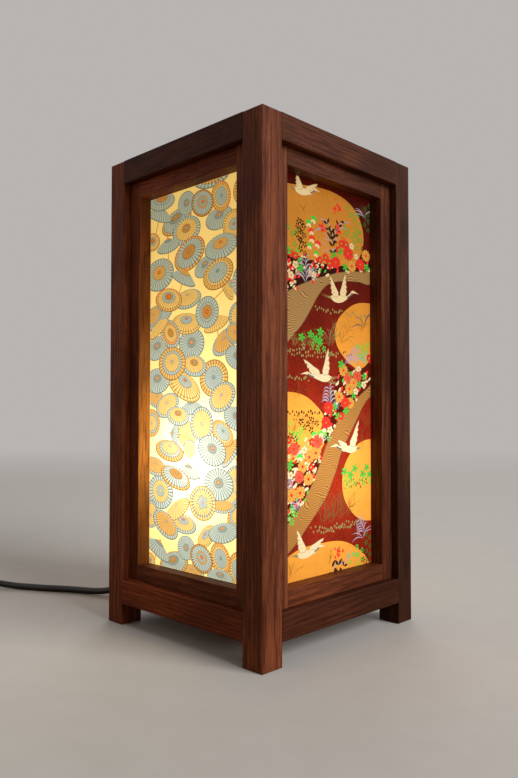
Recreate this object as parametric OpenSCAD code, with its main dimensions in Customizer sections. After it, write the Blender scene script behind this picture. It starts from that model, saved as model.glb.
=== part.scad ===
// Square wooden table lamp: a walnut post-and-rail frame with four papered
// panels, a base board, a screw-in bulb in a batten holder, and a mains lead
// with an inline rocker switch and a two-pin plug. Millimetres, +Z up, origin
// on the table under the middle of the lamp. Front is -Y, right is +X.

/* [Overall] */
// Height of the lamp over its posts
lamp_h = 400; // [320:1:520]
// Width of the lamp over its posts, on all four sides
lamp_w = 188; // [170:1:260]

/* [Posts and rails] */
// Side of the square posts
post = 20.5; // [18:0.5:28]
// Thickness of the outer rails, front to back
rail_t = 20.5; // [19:0.5:26]
// Height of the top rails
top_rail_h = 20.5; // [14:0.5:32]
// Height of the bottom rails
bottom_rail_h = 20.5; // [19:0.5:32]
// Gap between the table and the bottom rails
foot_gap = 18; // [8:0.5:40]
// Radius on the outer corner of a post
corner_r = 2; // [0.5:0.1:4]
// Radius on the other edges of posts and rails
ease_r = 0.8; // [0.3:0.1:1.5]
// Radius round the two ends of a post
end_r = 1.5; // [0.5:0.1:3]
// Thickness of the tenons on the outer rails
tenon_t = 7; // [5:0.5:8]
// Distance from a rail's outer face to its tenon
tenon_inset = 6.5; // [5:0.5:7]
// Step from a rail's top and bottom edges to its tenon
tenon_shoulder = 4; // [2:0.5:6]
// Clearance between the mitred ends of two tenons in a post
tenon_gap = 0.4; // [0.2:0.1:1]
// Clearance round a tenon in its mortise
mortise_clear = 0.1; // [0.05:0.01:0.2]

/* [Panels] */
// Step from the posts' outer face to the panel frame
panel_step = 7; // [3:0.5:10]
// Thickness of the panel frame's members
member_t = 12; // [8:0.5:14]
// Width of the panel frame's members
member_w = 13.5; // [9:0.5:20]
// Radius on the edges of the panel frame's members
member_ease = 0.4; // [0.2:0.1:1]
// Thickness of the stub tenons in the panel frame
stub_t = 4; // [3:0.5:6]
// Length of the stub tenons
stub_l = 8; // [5:0.5:8.5]
// Step from a member's edges to its stub tenon
stub_shoulder = 3; // [2:0.5:4]
// Thickness of the patterned paper
paper_t = 0.3; // [0.2:0.1:0.8]
// Thickness of the diffuser sheet behind the paper
diffuser_t = 1.2; // [0.8:0.1:2]
// Margin between a sheet's edge and the opening between posts and rails
sheet_margin = 1; // [0.5:0.1:3]

/* [Base] */
// Side of the square cleats under the base board
cleat = 8; // [6:0.5:10]
// Length of a cleat
cleat_l = 110; // [90:1:120]
// Distance from the bottom rails' lower edge to the cleats
cleat_lift = 6; // [5:0.5:8]
// Thickness of the base board
board_t = 5; // [4:0.5:8]
// Clearance round the base board
board_clear = 0.5; // [0.3:0.1:2]
// Radius of the wire hole through the base board
wire_hole_r = 7; // [6.5:0.1:9]

/* [Screws] */
// Radius of a screw's shank
screw_r = 1.5; // [1:0.1:1.8]
// Radius of a screw's head
screw_head_r = 3; // [2.5:0.1:3.4]
// Height of a screw's head
screw_head_h = 2; // [1.2:0.1:2.5]
// Clearance round a screw's shank in wood
screw_clear = 0.05; // [0.02:0.01:0.2]

/* [Bulb holder] */
// Radius of the holder's flange
flange_r = 33; // [32:0.5:38]
// Thickness of the holder's flange
flange_t = 5; // [4:0.5:7]
// Distance of the holder's screws from its axis
holder_screw_at = 27.8; // [27:0.1:29]
// Radius of the holder's boss
boss_r = 19; // [18:0.5:19.5]
// Height of the boss over the base board
boss_h = 22; // [18:0.5:26]
// Thickness of the boss's wall and deck
boss_wall = 3; // [2.5:0.1:3.5]
// Outer radius of the skirt
skirt_r = 23; // [22.5:0.1:24]
// Height of the skirt over the boss's deck
skirt_over = 31; // [28:0.5:31]
// Running clearance between the skirt and what it covers
skirt_clear = 0.3; // [0.2:0.1:0.5]
// Inner radius of the screw shell
shell_r = 13.4; // [13.3:0.1:13.8]
// Thickness of the screw shell's sheet
shell_t = 0.5; // [0.3:0.1:0.8]
// Height of the screw shell
shell_h = 25; // [20:0.5:27]

/* [Bulb] */
// Radius of the bulb's cap over its thread
cap_r = 13.1; // [12.8:0.1:13.2]
// Depth of the cap's thread grooves
thread_depth = 0.8; // [0.4:0.1:1]
// Pitch of the cap's thread
thread_pitch = 3.63; // [3:0.01:4]
// Radius of the globe
globe_r = 30; // [25:0.5:34]
// Overall length of the bulb
bulb_l = 112; // [105:1:125]
// Thickness of the globe's wall
globe_wall = 1; // [0.8:0.1:1.4]
// Depth of the globe's rim below its centre
globe_drop = 8; // [4:0.5:14]
// Thickness of the bulb's housing
housing_wall = 1.5; // [1.5:0.1:2.5]

/* [Lead, switch and plug] */
// Diameter of the lead
lead_d = 6.5; // [5.5:0.1:6.7]
// Radius of the grommet's sleeve in the left bottom rail
grommet_r = 4.9; // [4.6:0.1:5.2]
// Radius of the grommet's flange
grommet_flange_r = 7; // [6:0.1:8]
// Thickness of the grommet's flange
grommet_flange_t = 1.5; // [1:0.1:2.5]
// Clearance round the lead where it enters a piece
lead_clear = 0.15; // [0.1:0.05:0.3]
// Length of the inline switch
switch_l = 56; // [50:1:60]
// Width of the inline switch
switch_w = 24; // [22:0.5:26]
// Height of the inline switch's case
switch_h = 16; // [15:0.5:18]
// Wall of the switch's case
switch_wall = 1.6; // [1.2:0.1:2]
// Length of the rocker
rocker_l = 19; // [16:0.5:21]
// Width of the rocker
rocker_w = 10; // [8:0.5:12]
// Tilt of the rocker to either side
rocker_tilt = 7; // [4:0.5:8]
// Radius of the rocker's pivot pins
rocker_pin_r = 1.25; // [1:0.05:1.5]
// Turns of lead in the coil, in two layers
coil_turns = 5.375; // [5.375:1:7.375]
// Mean radius of the coil
coil_r = 39; // [34:0.5:40]
// Gap between turns side by side and between layers
turn_gap = 0.45; // [0.3:0.05:0.6]
// Length of lead between the switch and the coil
lead_in = 34; // [30:1:44]
// Length of lead between the coil and the plug
lead_out = 46; // [40:1:60]
// Thickness of the tie bands
tie_t = 1.2; // [0.8:0.1:1.4]
// Width of the tie bands
tie_w = 8; // [5:0.5:12]
// Width of the plug across its pins
plug_w = 35; // [32:0.5:38]
// Thickness of the plug
plug_t = 13.7; // [12:0.1:15]
// Length of the plug's body
plug_l = 34; // [30:0.5:38]
// Length of the plug's tapered relief
relief_l = 24; // [20:0.5:30]
// Length of the tapered relief on the lamp
lamp_relief_l = 22; // [20:0.5:22]
// Outer radius of both reliefs at the thick end
relief_r = 6; // [5.5:0.1:6.5]
// Radius of the plug's pins
pin_r = 2; // [1.9:0.05:2.4]
// Free length of the plug's pins
pin_l = 19; // [17:0.5:20]
// Distance between the plug's pins
pin_spacing = 18.6; // [17.5:0.1:19.2]

/* [Hidden] */
$fn = 64;
WALNUT = [0.27, 0.14, 0.09];
BRASS = [0.78, 0.63, 0.32];
STEEL = [0.72, 0.72, 0.72];
BLACK = [0.06, 0.06, 0.06];
WHITE = [0.93, 0.92, 0.89];
cut = 1; // how far a cut runs past the face that it opens

half = lamp_w / 2;
opening_w = lamp_w - 2 * post;
bottom_rail_top = foot_gap + bottom_rail_h;
top_rail_bottom = lamp_h - top_rail_h;
opening_h = top_rail_bottom - bottom_rail_top;

// Everything on a side is drawn on the front, at y = -half, and turned.
module on_side(side)
    rotate(90 * search([side], ["front", "right", "back", "left"])[0]) children();

module left_and_right() {
    children();
    mirror([1, 0, 0]) children();
}

// Rectangle with its corner on the origin. Each corner has its own radius:
// low-low, high-low, high-high, low-high.
module eased_rect(size, radii) {
    module corner(r) difference() {
        translate([-cut, -cut]) square(r + cut);
        translate([r, r]) circle(r);
    }
    difference() {
        square(size);
        corner(radii[0]);
        translate([size[0], 0]) mirror([1, 0]) corner(radii[1]);
        translate(size) rotate(180) corner(radii[2]);
        translate([0, size[1]]) mirror([0, 1]) corner(radii[3]);
    }
}

// Bar along X whose section, seen along X, is an eased rectangle.
module bar_x(length, depth, height, r) {
    translate([-length / 2, 0, 0]) rotate([90, 0, 90]) linear_extrude(length)
        eased_rect([depth, height], [r, r, r, r]);
}

// A mitred tenon seen from above, at the right-hand end of a front rail. Its
// slanting end stops short of the tenon of the next rail by gap.
module tenon_plan(grow, gap, back) {
    near = tenon_inset - grow;
    far = tenon_inset + tenon_t + grow;
    polygon([[half - post - back, -half + near], [half - near - gap, -half + near],
        [half - far - gap, -half + far], [half - post - back, -half + far]]);
}

module tenon(z0, rail_h) {
    translate([0, 0, z0 + tenon_shoulder]) linear_extrude(rail_h - 2 * tenon_shoulder)
        tenon_plan(0, tenon_gap, cut);
}

// The two mortises that meet in one post, for rails that start at z0.
module mortises(z0, rail_h) {
    height = rail_h - 2 * tenon_shoulder + 2 * mortise_clear;
    translate([0, 0, z0 + tenon_shoulder - mortise_clear]) linear_extrude(height) {
        tenon_plan(mortise_clear, 0, cut);
        translate([half, -half]) mirror([1, 1]) translate([-half, half])
            tenon_plan(mortise_clear, 0, cut);
    }
}

// Post at the right-hand end of a side.
module lamp_post(side) {
    color(WALNUT) on_side(side) difference() {
        translate([half - post, -half, 0]) intersection() {
            linear_extrude(lamp_h)
                eased_rect([post, post], [ease_r, corner_r, ease_r, ease_r]);
            rotate([90, 0, 90]) linear_extrude(post)
                eased_rect([post, lamp_h], [end_r, end_r, end_r, end_r]);
            translate([0, post, 0]) rotate([90, 0, 0]) linear_extrude(post)
                eased_rect([post, lamp_h], [end_r, end_r, end_r, end_r]);
        }
        mortises(foot_gap, bottom_rail_h);
        mortises(top_rail_bottom, top_rail_h);
    }
}

module rail(z0, rail_h) {
    translate([0, -half, z0]) bar_x(opening_w, rail_t, rail_h, ease_r);
    left_and_right() tenon(z0, rail_h);
}

module top_rail(side) {
    color(WALNUT) on_side(side) rail(top_rail_bottom, top_rail_h);
}

module screw_hole(depth) {
    translate([0, 0, -depth]) cylinder(r = screw_r + screw_clear, h = depth + cut);
}

// Bottom rail. Front and back carry the cleats, the left one lets the lead out.
module bottom_rail(side) {
    color(WALNUT) on_side(side) difference() {
        rail(foot_gap, bottom_rail_h);
        if (side == "front" || side == "back") cleat_screws() screw_hole(cleat_screw_l);
        if (side == "left") lead_way() {
            cylinder(r = grommet_r + lead_clear, h = 2 * rail_t, center = true);
            translate([0, 0, -grommet_flange_t]) cylinder(r = grommet_flange_r + lead_clear,
                h = grommet_flange_t + cut);
        }
    }
}

stub_x = opening_w / 2 - member_w;
member_front = -half + panel_step;

// Stub tenon of a panel frame's top or bottom member, drawn at its right end.
module stub(z0, grow, back) {
    height = member_w - 2 * stub_shoulder;
    translate([stub_x - back, member_front + (member_t - stub_t) / 2 - grow,
        z0 + stub_shoulder - grow])
        cube([stub_l + back + (grow > 0 ? tenon_gap : 0), stub_t + 2 * grow, height + 2 * grow]);
}

// Upright member of a panel frame: hand is -1 for the left one, 1 for the right.
module stile(side, hand) {
    color(WALNUT) on_side(side) mirror([hand < 0 ? 1 : 0, 0, 0]) difference() {
        translate([stub_x, member_front, bottom_rail_top]) linear_extrude(opening_h)
            eased_rect([member_w, member_t],
                [member_ease, member_ease, member_ease, member_ease]);
        stub(bottom_rail_top, mortise_clear, cut);
        stub(top_rail_bottom - member_w, mortise_clear, cut);
    }
}

module panel_member(side, z0) {
    color(WALNUT) on_side(side) {
        translate([0, member_front, z0]) bar_x(2 * stub_x, member_t, member_w, member_ease);
        left_and_right() stub(z0, 0, cut);
    }
}

sheet_w = opening_w - 2 * sheet_margin;
sheet_h = opening_h - 2 * sheet_margin;
paper_front = member_front + member_t;

module sheet(side, y0, thickness) {
    on_side(side) translate([-sheet_w / 2, y0, bottom_rail_top + sheet_margin])
        cube([sheet_w, thickness, sheet_h]);
}

module paper(side) {
    parasols = side == "front" || side == "back";
    color(parasols ? [0.93, 0.82, 0.52] : [0.55, 0.20, 0.10]) sheet(side, paper_front, paper_t);
}

module diffuser(side) color([0.96, 0.95, 0.90]) sheet(side, paper_front + paper_t, diffuser_t);

cleat_z = foot_gap + cleat_lift;
board_z = cleat_z + cleat;
board_top = board_z + board_t;
board_w = lamp_w - 2 * rail_t - 2 * board_clear;
cleat_back = -half + rail_t + cleat;
cleat_screw_x = cleat_l / 4;
board_screw_x = cleat_l / 2 - cleat;
cleat_screw_l = 2 * cleat;
point_cover = 1; // wood left in front of a screw's point
board_screw_l = board_t + cleat - point_cover;
holder_screw_l = flange_t + board_t - point_cover;
clip_t = 1.5;
clip_w = 10;
clip_screw_l = clip_t + board_t - point_cover;
clip_at = -(half + wire_hole_r) / 2;
clip_screw_y = lead_d / 2 + clip_t + screw_head_r + 1; // 1 mm off the saddle

// Each of these puts its children where a screw's head meets the wood, with
// the screw pointing along -Z.
module cleat_screws() for (x = [-1, 1])
    translate([x * cleat_screw_x, cleat_back, cleat_z + cleat / 2]) rotate([-90, 0, 0])
        children();
module board_screws() for (x = [-1, 1], y = [-1, 1])
    translate([x * board_screw_x, y * (-cleat_back + cleat / 2), board_top]) children();
module holder_screws() for (y = [-1, 1])
    translate([0, y * holder_screw_at, board_top + flange_t]) children();
module clip_screws() for (y = [-1, 1])
    translate([clip_at, y * clip_screw_y, board_z - clip_t]) rotate([180, 0, 0]) children();

module wood_screw(length) {
    slot_w = 0.8;
    slot_depth = 0.8;
    difference() {
        union() {
            translate([0, 0, -length]) cylinder(r = screw_r, h = length + screw_head_h / 2);
            cylinder(r = screw_head_r, h = screw_head_h);
        }
        translate([-screw_head_r - cut, -slot_w / 2, screw_head_h - slot_depth])
            cube([2 * (screw_head_r + cut), slot_w, slot_depth + cut]);
    }
}

module wood_screws() {
    color(STEEL) {
        for (side = ["front", "back"]) on_side(side) cleat_screws() wood_screw(cleat_screw_l);
        board_screws() wood_screw(board_screw_l);
        holder_screws() wood_screw(holder_screw_l);
        clip_screws() wood_screw(clip_screw_l);
    }
}

module base_cleats() {
    color([0.60, 0.45, 0.28]) for (side = ["front", "back"]) difference() {
        on_side(side) translate([-cleat_l / 2, -half + rail_t, cleat_z])
            cube([cleat_l, cleat, cleat]);
        on_side(side) cleat_screws() screw_hole(cleat_screw_l);
        board_screws() screw_hole(board_screw_l);
    }
}

module base_board() {
    color([0.80, 0.66, 0.45]) difference() {
        translate([-board_w / 2, -board_w / 2, board_z]) cube([board_w, board_w, board_t]);
        translate([0, 0, board_z - cut]) cylinder(r = wire_hole_r, h = board_t + 2 * cut);
        board_screws() screw_hole(board_screw_l);
        holder_screws() screw_hole(holder_screw_l);
        clip_screws() screw_hole(clip_screw_l);
    }
}

deck_z = board_top + boss_h;

// Flanged base of the bulb holder, hollow underneath, with a deck on top.
module holder_base() {
    bevel = 1;
    color(WHITE) difference() {
        translate([0, 0, board_top]) rotate_extrude() polygon([
            [boss_r - boss_wall, 0], [flange_r, 0], [flange_r, flange_t - bevel],
            [flange_r - bevel, flange_t], [boss_r, flange_t], [boss_r, boss_h],
            [0, boss_h], [0, boss_h - boss_wall], [boss_r - boss_wall, boss_h - boss_wall]]);
        holder_screws() screw_hole(holder_screw_l);
    }
}

skirt_top = deck_z + skirt_over;
skirt_mouth_r = shell_r + shell_t + skirt_clear;

// Skirt that slips over the boss and round the screw shell.
module holder_skirt() {
    skirt_z = board_top + flange_t + skirt_clear;
    step_z = deck_z + skirt_clear;
    top_wall = 4;
    lip = 1.2;
    color(WHITE) rotate_extrude() polygon([
        [boss_r + skirt_clear, skirt_z], [skirt_r, skirt_z], [skirt_r, deck_z],
        [skirt_mouth_r + top_wall, deck_z + top_wall],
        [skirt_mouth_r + top_wall, skirt_top - lip],
        [skirt_mouth_r + top_wall - lip, skirt_top], [skirt_mouth_r, skirt_top],
        [skirt_mouth_r, step_z], [boss_r + skirt_clear, step_z]]);
}

// Sheet-metal shell that the bulb's cap screws into, with a flange on the deck.
module holder_screw_shell() {
    foot = 5;
    color(BRASS) translate([0, 0, deck_z]) rotate_extrude() polygon([
        [shell_r - foot, 0], [shell_r + shell_t, 0], [shell_r + shell_t, shell_h],
        [shell_r, shell_h], [shell_r, shell_t], [shell_r - foot, shell_t]]);
}

contact_rise = 3;
tip_clear = 0.3; // between the bulb's tip and the centre contact
tip_z = deck_z + contact_rise + tip_clear;

// Springy tongue under the bulb: a flat foot, a slope and a raised pad.
module holder_contact() {
    width = 5;
    color(BRASS) translate([0, width / 2, deck_z]) rotate([90, 0, 0]) linear_extrude(width)
        polygon([[-7, 0], [-3, 0], [1, contact_rise - shell_t], [5, contact_rise - shell_t],
            [5, contact_rise], [0.6, contact_rise], [-3.2, shell_t], [-7, shell_t]]);
}

terminal_x = -3;
terminal_y = 6.5;
terminal_h = 8;
terminal_z = deck_z - boss_wall - terminal_h;
core_r = 1.1;

// Two brass blocks under the deck, each with a clamp screw in its outer face.
module holder_terminals() {
    block = 5;
    roof = 1;
    core_clear = 0.2;
    clamp_r = 1.3;
    clamp_l = 3;
    clamp_in = 0.8;
    color(BRASS) for (y = [-1, 1]) translate([terminal_x, y * terminal_y, terminal_z]) {
        difference() {
            translate([-block / 2, -block / 2, 0]) cube([block, block, terminal_h]);
            translate([0, 0, -cut]) cylinder(r = core_r + core_clear, h = terminal_h - roof + cut);
        }
        translate([0, y * (block / 2 - clamp_in), terminal_h / 2]) rotate([-90 * y, 0, 0])
            cylinder(r = clamp_r, h = clamp_in + clamp_l);
    }
}

tip_h = 4;
thread_rings = 5;
thread_z = tip_z + 5.5;
cap_top = thread_z + thread_rings * thread_pitch + 0.35;
neck_top = skirt_top + 2;
globe_z = tip_z + bulb_l - globe_r;
rim_z = globe_z - globe_drop;
rim_r = sqrt(globe_r * globe_r - globe_drop * globe_drop);

module bulb_tip() {
    color(BLACK) translate([0, 0, tip_z]) rotate_extrude() polygon([
        [0, 0], [3.5, 0], [4.5, 0.8], [4.8, 1.2], [9, tip_h - 1], [9, tip_h], [0, tip_h]]);
}

// Thin cap with a rounded thread, drawn as closed rings.
module bulb_cap() {
    steps = 8; // points to one ring
    wall = 0.7;
    inner_r = cap_r - thread_depth - wall;
    wave = [for (i = [0:thread_rings * steps]) [
        cap_r - thread_depth / 2 * (1 - cos(360 * i / steps)),
        thread_z + thread_pitch * i / steps]];
    color(STEEL) rotate_extrude() polygon(concat(
        [[inner_r, cap_top], [inner_r, thread_z], [8, tip_z + tip_h], [9.4, tip_z + tip_h]],
        wave, [[cap_r, cap_top]]));
}

// Conical housing of the bulb, from the cap to the globe.
module bulb_body() {
    wall = housing_wall;
    flare = [[cap_r + 2.5, neck_top + 5], [rim_r - 3, rim_z - 12], [rim_r, rim_z]];
    color(WHITE) rotate_extrude() polygon(concat(
        [[cap_r - wall, cap_top], [cap_r, cap_top], [cap_r, neck_top]], flare,
        [for (i = [2:-1:0]) [flare[i][0] - wall, flare[i][1]]], [[cap_r - wall, neck_top]]));
}

module bulb_globe() {
    color([0.98, 0.96, 0.88]) intersection() {
        translate([0, 0, globe_z]) difference() {
            sphere(r = globe_r, $fn = 96);
            sphere(r = globe_r - globe_wall, $fn = 96);
        }
        translate([0, 0, rim_z]) cylinder(r = 2 * globe_r, h = 2 * globe_r);
    }
}

lead_r = lead_d / 2;
lead_z = board_z - lead_r - 1.25;

// Puts its children on the lead's axis at the front side's outer face, with +Z
// pointing out. The left bottom rail uses it.
module lead_way() translate([0, -half, lead_z]) rotate([90, 0, 0]) children();

// Tapered relief along +Z, thin end first, with rings cut round it.
module tapered_relief(length) {
    ring_w = 1.2;
    ring_pitch = 4.8;
    difference() {
        cylinder(r1 = lead_r + 1.2, r2 = relief_r, h = length);
        for (z = [ring_pitch:ring_pitch:length - 2 * ring_pitch]) translate([0, 0, z])
            difference() {
                cylinder(r = 2 * relief_r, h = ring_w);
                translate([0, 0, -cut]) cylinder(r = lead_r + 0.8, h = ring_w + 2 * cut);
            }
    }
}

// Rubber grommet through the left bottom rail, with a tapered relief outside.
module lead_grommet() {
    color(BLACK) on_side("left") lead_way() difference() {
        union() {
            translate([0, 0, -rail_t]) cylinder(r = grommet_r, h = rail_t + grommet_flange_t);
            translate([0, 0, -grommet_flange_t]) cylinder(r = grommet_flange_r,
                h = grommet_flange_t);
            translate([0, 0, lamp_relief_l]) mirror([0, 0, 1]) tapered_relief(lamp_relief_l);
        }
        cylinder(r = lead_r + lead_clear, h = 2 * (rail_t + lamp_relief_l), center = true);
    }
}

// Saddle that holds the lead up against two screws under the base board.
module lead_clip() {
    saddle_r = lead_r + lead_clear;
    foot_y = clip_screw_y + screw_head_r + 1;
    rise = board_z - lead_z;
    color(BLACK) difference() {
        translate([clip_at - clip_w / 2, 0, lead_z]) rotate([90, 0, 90])
            linear_extrude(clip_w) difference() {
                union() {
                    circle(saddle_r + clip_t);
                    translate([-saddle_r - clip_t, 0]) square([2 * (saddle_r + clip_t), rise]);
                    translate([-foot_y, rise - clip_t]) square([2 * foot_y, clip_t]);
                }
                circle(saddle_r);
                translate([-saddle_r, 0]) square([2 * saddle_r, rise + cut]);
                translate([-foot_y, rise]) square([2 * foot_y, 2 * saddle_r]);
            }
        clip_screws() screw_hole(clip_t + cut);
    }
}

function unit(v) = v / norm(v);
function tangent(path, i) = unit(path[min(i + 1, len(path) - 1)] - path[max(i - 1, 0)]);

// Tube of given radius and number of sides along a path. Its rings stand
// square to the path, and up is any direction that the path never takes.
module tube(path, radius, sides, up = [0, 0, 1]) {
    rings = len(path);
    points = [for (i = [0:rings - 1])
        let (t = tangent(path, i), across = unit(cross(t, up)), over = cross(across, t))
            for (k = [0:sides - 1])
                path[i] + radius * (cos(360 * k / sides) * across + sin(360 * k / sides) * over)];
    walls = [for (i = [0:rings - 2], k = [0:sides - 1])
        let (a = i * sides + k, b = i * sides + (k + 1) % sides)
            for (face = [[a, b, b + sides], [a, b + sides, a + sides]]) face];
    start = [for (k = [1:sides - 2]) [0, k + 1, k]];
    last = (rings - 1) * sides;
    end = [for (k = [1:sides - 2]) [last, last + k, last + k + 1]];
    polyhedron(points, concat(walls, start, end));
}

sheath_end = -wire_hole_r - 4;

// Lead inside the lamp: its sheath, and the two cores up to the terminals.
module lead_inside() {
    color(BLACK) translate([-half, 0, lead_z]) rotate([0, 90, 0])
        cylinder(r = lead_r, h = half + sheath_end);
    color([0.35, 0.2, 0.1]) for (y = [-1, 1])
        tube([[sheath_end - 2, 1.6 * y, lead_z], [sheath_end + 3, 1.6 * y, lead_z + 0.3],
            [terminal_x - 1.5, 2 * y, lead_z + 3], [terminal_x, 2.6 * y, board_z],
            [terminal_x, 3.2 * y, board_top], [terminal_x, terminal_y * y, terminal_z - 3],
            [terminal_x, terminal_y * y, terminal_z], [terminal_x, terminal_y * y, terminal_z + 5]],
            core_r, 8, [0, 1, 0]);
}

// Route of the free lead, from the lamp's left side to the switch.
LEAD_ROUTE = [[-94, 0, 27.5], [-105, 0, 27.5], [-116, 0, 27.5], [-125, -1, 26.6],
    [-134, -5, 23.9], [-141, -12.5, 19.8], [-146, -22.5, 15.3], [-151, -32, 11.2],
    [-157, -41, 7.6], [-165.5, -48, 5.2], [-176, -53.5, 3.9], [-188, -58.5, 3.4],
    [-201, -65, 3.3], [-213, -72.5, 3.3], [-225, -80.5, 3.3], [-238, -88, 3.3],
    [-251, -95.5, 3.4], [-262, -102.5, 4.2], [-271, -110, 5.8], [-277, -118, 7.4],
    [-281, -126, 8], [-285, -135, 8]];

module lead_free() color(BLACK) tube(LEAD_ROUTE, lead_r, 10);

function heading(angle) = [cos(angle), sin(angle)];

// The switch sits on the end of the free lead and takes its direction.
lead_end = LEAD_ROUTE[len(LEAD_ROUTE) - 1];
lead_before_end = LEAD_ROUTE[len(LEAD_ROUTE) - 2];
switch_heading = atan2(lead_end[1] - lead_before_end[1], lead_end[0] - lead_before_end[0]);
entry = 4; // how far the lead reaches into the switch and the plug
switch_at = [lead_end[0], lead_end[1]] + (switch_l / 2 - entry) * heading(switch_heading);
switch_axis_z = switch_h / 2;
pivot_z = switch_h - 3;

module at_switch() translate(switch_at) rotate(switch_heading) children();

// The case's outline from above, drawn in at both ends.
module switch_plan(inset) {
    x = switch_l / 2 - inset;
    y = switch_w / 2 - inset;
    waist = lead_r + 3 - inset / 2;
    bevel = 9;
    polygon([[-x, -waist], [-x + bevel, -y], [x - bevel, -y], [x, -waist],
        [x, waist], [x - bevel, y], [-x + bevel, y], [-x, waist]]);
}

module switch_shell(z0, z1, floor_z, floor_to) {
    difference() {
        translate([0, 0, z0]) linear_extrude(z1 - z0) switch_plan(0);
        translate([0, 0, floor_z]) linear_extrude(floor_to - floor_z) switch_plan(switch_wall);
        translate([0, 0, switch_axis_z]) rotate([0, 90, 0])
            cylinder(r = lead_r + lead_clear, h = 2 * switch_l, center = true);
    }
}

module switch_base() {
    color(BLACK) at_switch()
        switch_shell(0, switch_axis_z, switch_wall, switch_axis_z + cut);
}

rocker_gap = 0.5;
ear_t = 1.5;
ear_w = 8;
ear_drop = 3; // below the rocker's pins
ear_y = rocker_w / 2 + rocker_gap;
ear_reach = ear_y + ear_t;
pin_clear = 0.06;

// Upper shell, with the rocker's window and two ears that hold its pins.
module switch_cover() {
    color(BLACK) at_switch() difference() {
        union() {
            switch_shell(switch_axis_z, switch_h, switch_axis_z - cut, switch_h - switch_wall);
            for (y = [-ear_y - ear_t, ear_y]) translate([-ear_w / 2, y, pivot_z - ear_drop])
                cube([ear_w, ear_t, switch_h - switch_wall / 2 - pivot_z + ear_drop]);
        }
        translate([-rocker_l / 2 - 2 * rocker_gap, -ear_y, switch_h - switch_wall - cut])
            cube([rocker_l + 4 * rocker_gap, 2 * ear_y, switch_wall + 2 * cut]);
        translate([0, 0, pivot_z]) rotate([90, 0, 0])
            cylinder(r = rocker_pin_r + pin_clear, h = 2 * (ear_reach + cut), center = true);
    }
}

// Rocker, drawn with its far end pressed: that is on.
module switch_rocker() {
    x = rocker_l / 2;
    rise = 4.2;
    dip = 2.6;
    color([0.10, 0.10, 0.10]) at_switch() translate([0, 0, pivot_z])
        rotate([0, rocker_tilt, 0]) {
            translate([0, rocker_w / 2, 0]) rotate([90, 0, 0]) linear_extrude(rocker_w)
                polygon([[-x, -0.5], [-3, -2.4], [3, -2.4], [x, -0.5], [x, rise],
                    [x - 1, rise + 0.3], [4, dip + 0.9], [0, dip + 0.5], [-4, dip + 0.9],
                    [-x + 1, rise + 0.3], [-x, rise]]);
            rotate([90, 0, 0]) cylinder(r = rocker_pin_r, h = 2 * ear_reach, center = true);
        }
}

// Two brass contact blocks on the switch's floor.
module switch_contacts() {
    size = [8, 5, 4.4];
    spacing = 24;
    color(BRASS) at_switch() for (x = [-1, 1])
        translate([(x * spacing - size[0]) / 2, -size[1] / 2, switch_wall]) cube(size);
}

function ramp(u) = let (v = min(max(u, 0), 1)) v * v * (3 - 2 * v);

loop_step = lead_d + turn_gap;
full_turn = 360;
ring_steps = 24; // rings in one turn
coil_start = switch_heading - 90;
coil_in_r = coil_r - loop_step * coil_turns / 4;
coil_out_r = coil_r + loop_step * coil_turns / 4;
coil_lift = 0.3; // from a tie to the turns on it
coil_z = [tie_t + coil_lift + lead_r, tie_t + coil_lift + lead_r + loop_step];
switch_end = switch_at + switch_l / 2 * heading(switch_heading);
coil_at = switch_end + lead_in * heading(switch_heading)
    - coil_out_r * heading(coil_start);
plug_heading = coil_start + full_turn * coil_turns + 90;
plug_z = plug_t / 2;
coil_end = coil_at + coil_out_r * heading(plug_heading - 90);
relief_at = coil_end + lead_out * heading(plug_heading);

// A point of the coil after a number of turns. It spirals in on the first
// layer and out on the second, and climbs in the half turn round the middle.
function coil_point(turns) =
    let (u = turns - coil_turns / 2,
        flat = coil_at + (coil_in_r + loop_step * abs(u)) * heading(coil_start + full_turn * turns))
            [flat[0], flat[1], coil_z[0] + loop_step * ramp(2 * u + 0.5)];

// A point on a straight run over the table from a point, at height z.
function on_run(from, angle, distance, z) =
    [from[0] + distance * cos(angle), from[1] + distance * sin(angle), z];

COIL_PATH = concat(
    [on_run(switch_end, switch_heading, -entry, switch_axis_z)],
    [for (t = [0.18, 0.38, 0.59, 0.79]) on_run(switch_end, switch_heading, t * lead_in,
        switch_axis_z + (coil_z[0] - switch_axis_z) * ramp((t - 0.18) / 0.7))],
    [for (i = [0:coil_turns * ring_steps]) coil_point(i / ring_steps)],
    [for (t = [0.17, 0.35, 0.52, 0.7, 0.87]) on_run(coil_end, plug_heading, t * lead_out,
        coil_z[1] + (plug_z - coil_z[1]) * ramp((t - 0.09) / 0.78))],
    [on_run(relief_at, plug_heading, entry, plug_z)]);

// Least distance between points of the coil more than half a turn apart.
coil_gap = min([for (i = [0:len(COIL_PATH) - 1], j = [i + ring_steps / 2:len(COIL_PATH) - 1])
    if (j < len(COIL_PATH)) norm(COIL_PATH[i] - COIL_PATH[j])]) - lead_d;
function path_length(path) = len(path) < 2 ? 0
    : [for (i = [0:len(path) - 2]) norm(path[i + 1] - path[i])]
        * [for (i = [0:len(path) - 2]) 1];
echo(coil_gap = coil_gap, free = path_length(LEAD_ROUTE), coiled = path_length(COIL_PATH));

module lead_coil() color(BLACK) tube(COIL_PATH, lead_r, 6);

tie_angles = [60, 220];

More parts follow.
